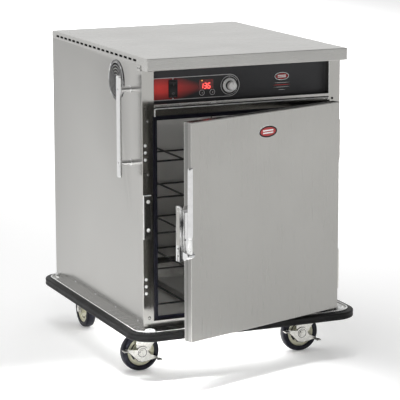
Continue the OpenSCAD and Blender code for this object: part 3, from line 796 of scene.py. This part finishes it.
def build_handles():
    """Upright bar on two stand-offs, on each side wall."""
    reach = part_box("transport_handles")[1].x / MM
    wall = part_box("outer_shell")[1].x / MM
    thick = 10
    y = 93.5
    length = reach - thick - wall
    stem = [
        (0, 0), (11.5, 0), (11.5, 1.6), (10.8, 2.4), (9.2, 2.9), (8.8, 4), (8.8, length - 3),
        (9.4, length - 1.4), (9.6, length), (0, length),
    ]
    bm = bmesh.new()
    for side, facing in ((-1, facing_left), (1, facing_right)):
        place = facing(at(side * (reach - thick), y, 0))
        add_prism(bm, round_rect(-12.5, 634, 12.5, 955, 6), thick, 3, place, 0, 4)
        for z in (680, 911):
            turned(bm, stem, facing(at(side * wall, y, z)), 0, 32)
            add_screw(bm, 4.6, 1.6, facing(at(side * reach, y, z)))
    make("handle_bars", bm, "cabinet", "chrome", ["transport_handles"])


def build_fan():
    low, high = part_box("fan_guard")
    centre = (low + high) / 2
    bm = bmesh.new()
    place = facing_left((low.x + 2 * MM, centre.y, centre.z))
    for radius in (9, 18.5, 28, 37.5, 47, 56.5):
        ring = ribbon(mm(circle(radius, 48)), 1.8 * MM, 0.25 * MM, True)
        merge(bm, ring, place @ Matrix.Translation((0, 0, -0.9 * MM)))
    for turn in (45, 135):
        spoke = mm([(-60, 0, -1.8), (-57, 0, -0.9), (57, 0, -0.9), (60, 0, -1.8)])
        merge(bm, tube(spoke, 0.7 * MM, 8), place @ turn_z(turn), 1)
    rim = [(59, -2.2), (59, -1.4), (60.8, -0.9), (63.8, -0.9), (65, -1.4), (65, -2.2)]
    turned(bm, rim, place, 1, 64, True)
    # A matt black disc behind the rotor keeps the pale inside of the header out of sight: a dark sheet
    # standing in for the shade inside, painted shade.
    shade_disc = [(0, 0), (62, 0), (63, 0.3), (63, 0.8), (0, 0.8)]
    turned(bm, shade_disc, facing_right((-315.5 * MM, centre.y, centre.z)), 1, 64)
    for radius in (61, 64):
        ring = mm((x, y, -0.6) for x, y in circle(radius, 64))
        merge(bm, tube(ring, 0.55 * MM, 8, True), place)
    for turn in (45, 135, 225, 315):
        spot = turn_z(turn) @ Matrix.Translation((62.5 * MM, 0, -0.6 * MM))
        add_screw(bm, 3.4, 1.2, place @ spot)
    make("fan_guard_wires", bm, "cabinet", ["chrome", "matt"], ["fan_guard"])
    paint("matt", "vent_fan_frame", "vent_fan_rotor")


# ---- Controls ----


def centre_of(node):
    low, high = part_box(node)
    return (low + high) / 2


def digit(segments, height, thick):
    """Seven-segment digit in XY, made of six-sided bars."""
    half = height / 2
    wide = height * 0.25
    gap = thick * 0.12
    bars = {
        "a": (-1, 1, 1, 1), "g": (-1, 0, 1, 0), "d": (-1, -1, 1, -1),
        "f": (-1, 1, -1, 0), "b": (1, 1, 1, 0), "e": (-1, 0, -1, -1), "c": (1, 0, 1, -1),
    }
    bm = bmesh.new()
    for name in segments:
        x0, y0, x1, y1 = (c * size for c, size in zip(bars[name], (wide, half, wide, half)))
        end = math.hypot(x1 - x0, y1 - y0) / 2 - gap
        t = thick / 2
        outline = [(-end, 0), (t - end, t), (end - t, t), (end, 0), (end - t, -t), (t - end, -t)]
        turn = Matrix.Rotation(math.atan2(y1 - y0, x1 - x0), 4, "Z")
        move = Matrix.Translation(((x0 + x1) / 2, (y0 + y1) / 2, 0))
        merge(bm, prism(outline, 0.35 * MM, 0.08 * MM, 1), move @ turn)
    return bm


def build_print():
    """Printed lines and marks on the overlay."""
    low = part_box("control_overlay")[0]
    printed = facing_front((0, low.y, 0))
    knob = centre_of("knob")
    rocker = centre_of("rocker_switch")
    radius = 34.2 * MM
    start = low.x + 0.5 * MM
    thick = 0.15 * MM
    bm = bmesh.new()
    line = [(start, knob.z + radius)] + arc(knob.x, knob.z, radius, 90, -90, 24) + [(start, knob.z - radius)]
    merge(bm, ribbon(line, 1.8 * MM, thick), printed)
    merge(bm, ribbon(arc(knob.x, knob.z, 29 * MM, 28, 332, 40), 1.4 * MM, thick), printed)
    marks = [(rocker, dz, 2.2, 2) for dz in (31, -31)] + [(knob, dz, 1.2, 1.2) for dz in (-29.6, 25.6)]
    for spot, dz, half_w, half_h in marks:
        mark = prism(oval(half_w * MM, half_h * MM, 16), thick)
        merge(bm, mark, facing_front((spot.x, low.y, spot.z + dz * MM)))
    for node in ("up_button", "down_button"):
        spot = centre_of(node)
        merge(bm, ribbon(circle(8.4 * MM, 32, spot.x, spot.z), 1.3 * MM, thick, True), printed)
    make("overlay_print", bm, "cabinet", "print")


def build_display():
    low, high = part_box("display_window")
    pane = prism(round_rect(low.x, low.z, high.x, high.z, 2 * MM), high.y - low.y, 0.35 * MM)
    front = facing_front((0, high.y, 0))
    make("display_lens", pane, "cabinet", "lens", ["display_window"], front)
    bm = bmesh.new()
    slant = Matrix.Identity(4)
    slant[0][1] = 0.12
    middle = (low.x + high.x) / 2
    for offset, segments in ((-15, "bc"), (-3, "abgcd"), (9.5, "afgecd")):
        place = facing_front((middle + offset * MM, low.y + 0.05 * MM, low.z + 12.8 * MM))
        merge(bm, digit(segments, 16 * MM, 1.9 * MM), place @ slant)
    make("display_digits", bm, "cabinet", "digit")
    lamp = screw_head(1.8 * MM, 1 * MM)
    spot = facing_front((low.x + 10.3 * MM, low.y, high.z - 3.2 * MM))
    make("status_lamp", lamp, "cabinet", "lamp", (), spot)


def build_switch():
    low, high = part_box("switch_bezel")
    rim = 2.6 * MM
    depth = high.y - low.y
    outer = round_rect(low.x, low.z, high.x, high.z, rim)
    inner = round_rect(low.x + rim, low.z + rim, high.x - rim, high.z - rim, 1 * MM)
    rings = [[(x, y, level) for x, y in outline] for outline, level in (
        (outer, 0), (outer, depth * 0.6), (shrink(outer, 0.9 * MM), depth),
        (shrink(inner, -0.5 * MM), depth), (inner, depth * 0.8), (inner, 0),
    )]
    bm = bmesh.new()
    merge(bm, loft(rings, closed=True), facing_front((0, high.y, 0)))
    make("switch_frame", bm, "cabinet", "black", ["switch_bezel"])


def build_keys():
    cap = [(0, 0), (4.3, 0), (4.3, 0.5), (3.8, 0.9), (0, 1)]
    for node, name, flip in (("up_button", "up_key", 1), ("down_button", "down_key", -1)):
        spot = centre_of(node)
        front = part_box(node)[0].y
        bm = copy_of(node)
        turned(bm, cap, facing_front((spot.x, front + 1 * MM, spot.z)), 0, 24)
        arrow = [(-2.2, -1.3 * flip), (2.2, -1.3 * flip), (0, 1.9 * flip)]
        add_prism(bm, arrow, 0.25, 0, facing_front((spot.x, front, spot.z)), 1)
        make(name, bm, node, ["button", "print"], [node])


def build_controls():
    paint("panel", "control_panel")
    paint("overlay", "control_overlay")
    paint("board", "controller_box")
    build_print()
    build_display()
    build_switch()
    build_rocker()
    build_keys()
    build_knob()
    build_badges()


def shrink(outline, amount):
    """Outline moved inwards from its own middle, for round rectangles."""
    cx, cy = (sum(p[i] for p in outline) / len(outline) for i in (0, 1))
    return [(x + (amount if x < cx else -amount), y + (amount if y < cy else -amount)) for x, y in outline]


def build_rocker():
    bm = copy_of("rocker_switch")
    soften(bm, 50, 0.9)
    spot = JOINTS["power_rocker_tilt"]["pos_m"]
    tilt = Matrix.Rotation(math.radians(6), 4, "X")
    place = Matrix.Translation(spot) @ tilt @ facing_front((0, -6.2 * MM, 0))
    add_block(bm, (-0.6, 11, 0), (0.6, 17, 0.5), 0.1, place, 1)
    merge(bm, ribbon(mm(circle(3, 24, 0, -14)), 0.8 * MM, 0.5 * MM, True), place, 1)
    make("power_rocker_cap", bm, "power_rocker", ["black", "mark"], ["rocker_switch"])


def build_knob():
    """Spun aluminium skirt, a black ribbed neck and a spun cap with a pointer line."""
    spot = centre_of("knob")
    bm = bmesh.new()
    back = at(0, 22.2, 0).y
    place = facing_front((spot.x, back, spot.z))
    skirt = [(0, 0), (22.4, 0), (23, 0.5), (23, 1.6), (22.4, 2.3), (21.6, 2.8), (15.6, 4.4), (0, 4.4)]
    turned(bm, skirt, place, 2, 72)
    neck = [(0, 2.9), (15, 2.9), (15, 5), (14.2, 6.4), (13.7, 9), (13.5, 12), (13.5, 14), (0, 14)]
    turned(bm, neck, place, 1, 72)
    length = (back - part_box("knob")[0].y) / MM
    cap = [
        (0, 13.4), (13.4, 13.4), (13.9, 14), (13.9, length - 1.6), (13.3, length - 0.6),
        (11.8, length - 0.1), (10.6, length - 0.1), (10.2, length - 0.5), (0, length - 0.5),
    ]
    turned(bm, cap, place, 2, 72)
    for i in range(24):
        add_block(bm, (12.7, -0.55, 6.5), (14.3, 0.55, 13.2), 0.25, place @ turn_z(15 * i), 1)
    add_block(bm, (-0.6, 5, length - 0.6), (0.6, 12.2, length), 0.15, place, 1)
    add_block(bm, (-0.6, 17.8, 2.7), (0.6, 21.4, 3.1), 0.1, place, 1)
    turned(bm, [(0, 0), (3, 0), (3, -11.3), (0, -11.3)], place, 0, 24)
    make("timer_knob", bm, "knob", ["chrome", "black", "spun"], ["knob"])


def badge(box, rim=0.975):
    """Oval badge with a bright rim, a dark band and a domed enamel field with two plain bars."""
    low, high = box
    half_w, half_h, depth = (high.x - low.x) / 2, (high.z - low.z) / 2, high.y - low.y
    bm = bmesh.new()
    for look, (wide, tall, level, bevel) in enumerate((
        (1, 1, 0.8, 0.3), (rim, 2 * rim - 1, 0.92, 0.1), (0.83, 0.72, 1, 0.35),
    )):
        merge(bm, prism(oval(half_w * wide, half_h * tall), depth * level, bevel * MM), None, look)
    for y in (0.2, -0.2):
        corner = (-half_w * 0.56, (y - 0.11) * half_h, depth * 0.9)
        merge(bm, block(corner, (half_w * 0.56, (y + 0.11) * half_h, depth * 1.08), 0.15 * MM, 1))
    return bm


def build_badges():
    low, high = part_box("panel_badge")
    spot = (low + high) / 2
    place = facing_front((spot.x, high.y, spot.z))
    make("panel_oval", badge((low, high), 0.93), "cabinet", BADGE, ["panel_badge"], place)
    bm = bmesh.new()
    for dz, half, look in ((-20.5, 30, 0), (-27.5, 32, 1), (-34.5, 30, 0), (-43, 14, 0)):
        tall = 1.2 if look else 0.75
        wide = half * 0.4
        outline = [(-half, 0), (-wide, tall), (wide, tall), (half, 0), (wide, -tall), (-wide, -tall)]
        add_prism(bm, outline, 0.2, 0, facing_front((spot.x, high.y, spot.z + dz * MM)), look)
    make("panel_lines", bm, "cabinet", ["print", "print_red"])


# ---- Door ----

HINGE = Vector(JOINTS["door_hinge"]["pos_m"])
AJAR = math.radians(-JOINTS["door_hinge"]["range_deg"][0])
DOOR = Matrix.Translation(HINGE) @ Matrix.Rotation(AJAR, 4, "Z") @ Matrix.Translation(-HINGE)


def closed_box(node):
    """A door node's box with the door closed."""
    back = DOOR.inverted()
    points = [back @ v.co for v in frame["nodes"][node].data.vertices]
    return corners_of(points)


def closed_panel(node, face, bevel, segments):
    """A door panel with the door closed, its rim on one face and its upright corners rounded."""
    box = closed_box(node)
    bm = copy_of(node)
    bmesh.ops.transform(bm, matrix=DOOR.inverted(), verts=bm.verts)

    def chosen(edge):
        sides = sides_of(edge, box)
        return (face in sides and sides & (ENDS_X | ENDS_Z)) or (sides & ENDS_X and sides & ENDS_Z)

    round_edges(bm, [e for e in bm.edges if sharp(e) and chosen(e)], bevel * MM, segments, False)
    return bm, box


def build_door():
    bm, (low, high) = closed_panel("door_outer", "-y", 2.6, 3)
    shade_split_y = low.y + 14 * MM
    everything = bm.verts[:] + bm.edges[:] + bm.faces[:]
    bmesh.ops.bisect_plane(bm, geom=everything, dist=1e-6, plane_co=(0, shade_split_y, 0), plane_no=(0, 1, 0))
    bm.normal_update()
    for face in bm.faces:
        # Side and end faces take darker copies of the door steel, darker still behind the split: painted
        # shade.
        across = face.normal.x < -0.95 or abs(face.normal.z) > 0.95
        behind = face.calc_center_median().y > shade_split_y
        # Faces of the rounded front edge take the lighter top steel: a painted highlight along the door's
        # edge.
        bevel = -0.95 <= face.normal.x < -0.2 and face.normal.y < -0.2
        face.material_index = (2 if behind else 1) if across else (3 if bevel else 0)
    looks = ["door", "edge", "edge_deep_shade", "top"]
    make("door_face", bm, "door", looks, ["door_outer"], DOOR)

    bm = closed_panel("door_inner", "+y", 1.4, 2)[0]
    bm.normal_update()
    # The inner panel's side faces take the darker edge steel: painted shade.
    for face in bm.faces:
        face.material_index = 1 if face.normal.x < -0.95 else 0
    make("door_back", bm, "door", ["front", "edge"], ["door_inner"], DOOR)

    low, high = closed_box("door_badge")
    spot = (low + high) / 2
    place = DOOR @ facing_front((spot.x, high.y, spot.z))
    make("door_oval", badge((low, high)), "door", BADGE, ["door_badge"], place)


def ring_at(x, y, z, half_x, half_y):
    """Rounded cross-section in XY at a height, in millimetres."""
    square = 2 / 2.6
    points = []
    for c, s in circle(1, 28):
        px = half_x * math.copysign(abs(c) ** square, c)
        py = half_y * math.copysign(abs(s) ** square, s)
        points.append(at(x + px, y + py, z))
    return points


def build_latch():
    """Housing with a deep base, a groove and a slanted cover, and a lever on an axle between two ears."""
    lever = closed_box("latch_lever")
    mid_x = (lever[0].x + lever[1].x) / 2 / MM
    base = [(-5, 426), (-5, 597), (-23, 597), (-26, 594), (-26, 428), (-24, 426)]
    groove = [(-9, 428), (-9, 590), (-25, 590), (-25, 430)]
    cover = [(-9, 430), (-9, 592), (-30, 586), (-34, 578), (-34, 432), (-31, 429)]
    inset = [(-8.6, 476), (-8.6, 591), (-21, 591), (-22.6, 589), (-22.6, 476)]
    boss_y, boss_z = -47.5, 447
    ear = [(-33, boss_z - 12), (-33, boss_z + 12), (boss_y, boss_z + 9)]
    ear += arc(boss_y, boss_z, 9, 90, 270, 12)[1:-1]
    ear += [(boss_y, boss_z - 9)]
    bm = bmesh.new()
    # The groove between base and cover is black: painted shade in the recess.
    for outline, x0, x1, bevel, look in (
        (base, -349, -343, 1.6, 2), (groove, -344, -340.5, 0.3, 1), (cover, -341.5, -317, 2.6, 0),
        (inset, -349.7, -348.7, 0.3, 3), (ear, -346.4, -344.2, 0.7, 0), (ear, -319.9, -317.7, 0.7, 0),
    ):
        place = basis((0, 1, 0), (0, 0, 1), (1, 0, 0), (x0 * MM, FRONT_Y, 0))
        add_prism(bm, outline, x1 - x0, bevel, place, look, 3, 1.2)
    for z in (444, 466):
        add_screw(bm, 2.4, 0.8, facing_left(at(-349, -15, z)), 1)
    add_screw(bm, 2, 0.6, facing_left(at(-349.7, -15.6, 582)))
    add_screw(bm, 3, 1, facing_front(at(-337, -34, 494)), 1)
    # A black patch on top of the base: a painted dark hollow, painted shade.
    add_block(bm, (-347.6, -22, 595), (-344, -8, 597.4), 0.5, CABINET, 1, 2)
    looks = ["chrome", "black", "reflection_mottle", "front"]
    make("latch_case", bm, "door", looks, ["latch_housing"], DOOR)

    grip = [
        (715.6, -53, 5.4, 2.6), (715, -53, 7, 4.2), (713, -52.9, 8, 5.4),
        (706, -52.6, 8.4, 5.8), (690, -52.5, 8.6, 6), (640, -52.4, 8.6, 6.2),
        (540, -52.2, 8.6, 6.6), (512, -52.1, 8.3, 6.8), (502, -51.9, 7.4, 6.4), (499, -51.8, 5.6, 5),
    ]
    stem = [
        (503, -51.4, 5, 4.6), (500, -51.2, 6.2, 5.6), (490, -50.6, 6.6, 6.4), (478, -49.8, 7, 7.4),
        (466, -48.8, 7.6, 8.4), (455, -47.9, 8.2, 9), (447, -47.5, 8.4, 9.2),
    ]
    bm = bmesh.new()
    for look, sections in enumerate((grip, stem)):
        rings = [ring_at(mid_x, y, z, half_x, half_y) for z, y, half_x, half_y in sections]
        merge(bm, loft(rings), None, look)
    spot = at(mid_x, boss_y, boss_z)
    boss = [
        (0, -10.5), (8.2, -10.5), (9.8, -9.6), (10.4, -8), (10.4, 8), (9.8, 9.6), (8.2, 10.5), (0, 10.5),
    ]
    turned(bm, boss, facing_right(spot))
    for facing in (facing_left, facing_right):
        turned(bm, [(0, 0), (3, 0), (3, 13.5), (2.4, 14), (0, 14)], facing(spot), 0, 20)
    for turn in range(0, 360, 20):
        add_block(bm, (10.1, -0.7, -8.6), (10.9, 0.7, 8.6), 0.25, facing_right(spot) @ turn_z(turn))
    make("latch_pull", bm, "latch_lever", ["chrome", "satin"], ["latch_lever"], DOOR)


def build_hinges():
    for node, body in (("hinge_door_leaves", "door"), ("hinge_frame_leaves", "cabinet")):
        bm = copy_of(node)
        soften(bm, 60, 0.35, 1)
        make(node + "_rounded", bm, body, "zinc", [node])
    x = closed_box("hinge_door_leaves")[0].x + 2.5 * MM
    bm = bmesh.new()
    for centre in (299, 723.5):
        for dz in (-16, 16):
            add_screw(bm, 3.2, 0.9, facing_right((x, *at(0, -24, centre + dz).yz)))
    make("hinge_screws", bm, "door", "screw", (), DOOR)
    paint("screw", "hinge_pins")


def build_strike():
    """Angle plate with bright cut edges, its front face in a darker copy of the steel as painted shade, a
    bright strip along the top edge as a painted highlight, and two domed cross-head screws.
    """
    low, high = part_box("strike_bracket")
    bm = copy_of("strike_bracket")
    soften(bm, 60, 0.7)
    bm.normal_update()
    # The large front face takes the dark strike steel: painted shade.
    for face in bm.faces:
        plate = face.normal.y < -0.98 and face.calc_area() > 100 * MM * MM
        face.material_index = 1 if plate else 0
    # A bright strip along the top edge: a painted highlight.
    start = (low.x + 2 * MM, FRONT_Y - 4.2 * MM, high.z - 2.4 * MM)
    merge(bm, block(start, (high.x, FRONT_Y - 0.5 * MM, high.z), 0.5 * MM))
    for z in (479.3, 569.6):
        add_screw(bm, 6, 3.2, facing_front(at(-325, -3, z)), 0, 1.2)
    make("strike_plate", bm, "cabinet", ["satin", "shade"], ["strike_bracket"])


# ---- Base ----


def build_base():
    low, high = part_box("bumper")
    middle_z = (low.z + high.z) / 2
    half = (high.z - low.z) / 2
    thick = 18 * MM
    outline = round_rect(low.x, low.y, high.x, high.y, 78 * MM, 16)
    upper = [
        (0.95, 0), (0.965, 0.22), (1, 0.34), (1, 0.62), (0.98, 0.8), (0.9, 0.93), (0.72, 1), (0, 1),
    ]
    profile = [(u, -v) for u, v in reversed(upper[1:])] + upper
    rings = [
        [(x + nx * thick * (1 - u), y + ny * thick * (1 - u), middle_z + v * half) for u, v in profile]
        for x, y, nx, ny in beside(outline, True)
    ]
    strip = loft(rings, closed=True)
    make("bumper_strip", strip, "cabinet", "bumper", ["bumper"], None, 50)

    bm = copy_of("base_frame")
    soften(bm, 60, 0.7)
    for x in (-333, 333):
        for y in (-30, 804):
            add_screw(bm, 17, 9, Matrix.Translation(at(x, y, 162)), 1)
    lip = 2.6 * MM
    low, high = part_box("base_frame")
    outline = round_rect(low.x + lip, low.y + lip, high.x - lip, high.y - lip, 60 * MM - lip, 12)
    merge(bm, tube([(x, y, 162.6 * MM) for x, y in outline], lip, 10, True), None, 1)
    make("deck_frame", bm, "cabinet", ["deck", "satin"], ["base_frame"])


FRONT_CASTERS = ("fl", "fr")
TRAIL = 31
AXLE_Z = 63.5
AXLE = Vector((-TRAIL, 0, AXLE_Z)) * MM


def caster_place(corner):
    """A caster's own axes: the swivel is Z, and the wheel trails towards -X."""
    pivot = JOINTS[f"caster_{corner}_swivel"]["pos_m"]
    return Matrix.Translation((pivot[0], pivot[1], 0)) @ turn_z(0 if corner in FRONT_CASTERS else 90)


def build_casters():
    bm = copy_of("caster_plates")
    soften(bm, 40, 0.6)
    make("caster_tops", bm, "cabinet", "zinc", ["caster_plates"])
    for corner in ("fl", "fr", "rl", "rr"):
        build_fork(corner)
        build_wheel(corner)
        if corner in FRONT_CASTERS:
            build_brake(corner)


def front_slab(bm, outline, y0, y1, bevel, place, look=0):
    """Adds an XZ outline in millimetres as a plate from y0 to y1."""
    add_prism(bm, outline, y1 - y0, bevel, place @ facing_front((0, y1 * MM, 0)), look)


def build_fork(corner):
    place = caster_place(corner)
    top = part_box(f"fork_{corner}")[1].z / MM
    bm = bmesh.new()
    leg = [(38, 134), (-50, 134), (-50, 84), (-TRAIL - 12, 56)]
    leg += arc(-TRAIL, AXLE_Z, 14, 210, 330, 10)
    leg += [(-9, 66), (30, 118), (38, 126)]
    for y0 in (-22, 19):
        front_slab(bm, leg, y0, y0 + 3, 0.8, place)
    add_prism(bm, round_rect(-50, -22, 38, 22, 6), 4, 1, place @ Matrix.Translation((0, 0, 134 * MM)))
    race = [(0, 137), (30, 137), (31.5, 138.5), (31.5, 141), (30, 142.5), (29, 143), (29, top), (0, top)]
    turned(bm, race, place)
    washer = [(6, 0), (12.5, 0), (12.5, 1.2), (11.8, 1.6), (6, 1.6)]
    tip = [(0, 0), (5.6, 0), (5.6, 7.2), (4.8, 7.9), (0, 7.9)]
    for side, facing in ((-1, facing_front), (1, facing_back)):
        spot = place @ facing(AXLE + Vector((0, side * 22.1 * MM, 0)))
        turned(bm, washer, spot, 0, 32, True)
        add_prism(bm, circle(10, 6), 5.6, 0.7, spot @ Matrix.Translation((0, 0, 1.5 * MM)))
        turned(bm, tip, spot, 0, 24)
    turned(bm, [(0, -29), (6, -29), (6, 29), (0, 29)], place @ facing_front(AXLE), 0, 24)
    make(f"fork_{corner}_plated", bm, f"caster_{corner}", "zinc", [f"fork_{corner}"])


def slotted_disc(radii, half_turn, thickness, count=6):
    """Ring plate centred on Z = 0, with curved slots between its two middle radii."""
    steps = 96
    bm = bmesh.new()
    grid = [[bm.verts.new((x, y, 0)) for x, y in circle(r, steps)] for r in radii]
    for k, (inside, outside) in enumerate(zip(grid, grid[1:])):
        for i in range(steps):
            middle = 360 * (i + 0.5) / steps
            off = (middle - 30 + 180 / count) % (360 / count) - 180 / count
            if k == 1 and abs(off) < half_turn:
                continue
            j = (i + 1) % steps
            bm.faces.new([inside[i], inside[j], outside[j], outside[i]])
    thicken(bm, thickness)
    bmesh.ops.translate(bm, vec=(0, 0, -thickness / 2), verts=bm.verts)
    soften(bm, 60, 0.6)
    return bm


def mirrored(half):
    """A profile followed by its reflection below Z = 0, from the lowest point up."""
    return [(r, -h) for r, h in half] + [(r, h) for r, h in reversed(half)]


def build_wheel(corner):
    place = caster_place(corner) @ facing_front(AXLE)
    bm = bmesh.new()
    merge(bm, slotted_disc([r * MM for r in (14, 27.5, 34, 42)], 21, 17 * MM), place)
    turned(bm, [(26.5, -4), (35, -4), (35, 4), (26.5, 4)], place, 1, 64, True)
    turned(bm, mirrored([(41, 4), (42, 8), (44, 11.6), (45, 12)]), place, 0, 96, True)
    turned(bm, mirrored([(6.05, 17), (13.5, 17), (15, 15.6), (15, 6), (17, 4)]), place, 0, 64, True)
    make(f"hub_{corner}_moulded", bm, f"wheel_{corner}", ["hub", "black"], [f"hub_{corner}"])
    tread = mirrored([
        (45, 12), (46, 13.5), (48, 15.4), (50, 16), (54, 15.6), (58.5, 15.2), (60.5, 13.8), (61.8, 12),
        (62.9, 8.5), (63.5, 4),
    ])
    tyre = lathe(mm(tread), 128, True)
    make(f"tyre_{corner}_rubber", tyre, f"wheel_{corner}", "tyre", [f"tyre_{corner}"], place)


def build_brake(corner):
    hub = caster_place(corner) @ Matrix.Translation(AXLE)
    bm = bmesh.new()
    plate = [(-60, 12), (-57, 17), (-40, 13), (-22, 11)]
    plate += arc(0, 0, 20, 150, 20, 14)
    plate += [
        (26, -7), (40, -14), (50, -18), (52, -22.4), (36, -25), (17, -29), (0, -31), (-14, -27),
        (-28, -12), (-44, 3),
    ]
    front_slab(bm, plate, -25.5, -22.8, 0.7, hub)
    # A black plate 5% larger just behind the brake plate: a painted shadow round its outline.
    front_slab(bm, [(x * 1.05, z * 1.05) for x, z in plate], -22.8, -22.3, 0.1, hub, 1)
    # A thin black ring round the axle washer: a painted shadow of the gap.
    ring = [(13.4, 0), (15, 0), (15, 0.3), (13.4, 0.3)]
    turned(bm, ring, hub @ facing_front((0, -25.5 * MM, 0)), 1, 48, True)
    for x0, x1, z0 in ((-70, -52, 12), (46, 62, -26)):
        add_block(bm, (x0, -46, z0), (x1, -22.4, z0 + 3), 0.9, hub, 0, 2)
        for i in range(4):
            x = x0 + 2.6 + i * (x1 - x0 - 5.2) / 3
            add_block(bm, (x - 0.8, -44.5, z0 + 2.9), (x + 0.8, -25, z0 + 3.9), 0.3, hub, 1)
    make(f"brake_{corner}_pedal", bm, f"brake_{corner}", ["zinc", "black"], [f"brake_{corner}"])


# ---- Build everything ----

add_camera()
add_stage()
build_shell()
build_header()
build_rivets()
build_plugs()
build_gasket()
build_handles()
build_fan()
build_controls()
build_door()
build_latch()
build_hinges()
build_strike()
build_base()
build_casters()
paint("liner", "inner_liner", "slide_uprights")
paint("wall", "compartment_floor")
paint("fibre", "insulation", "door_insulation")
paint("wire", "tray_rails_left", "tray_rails_right", "tray_stop_wires")
paint("baffle", "air_baffle")
paint("chrome", "water_pan", "blower_wheel")
paint("sheath", "heater_element")
paint("motor", "blower_motor")
paint("black", "cord_gland")
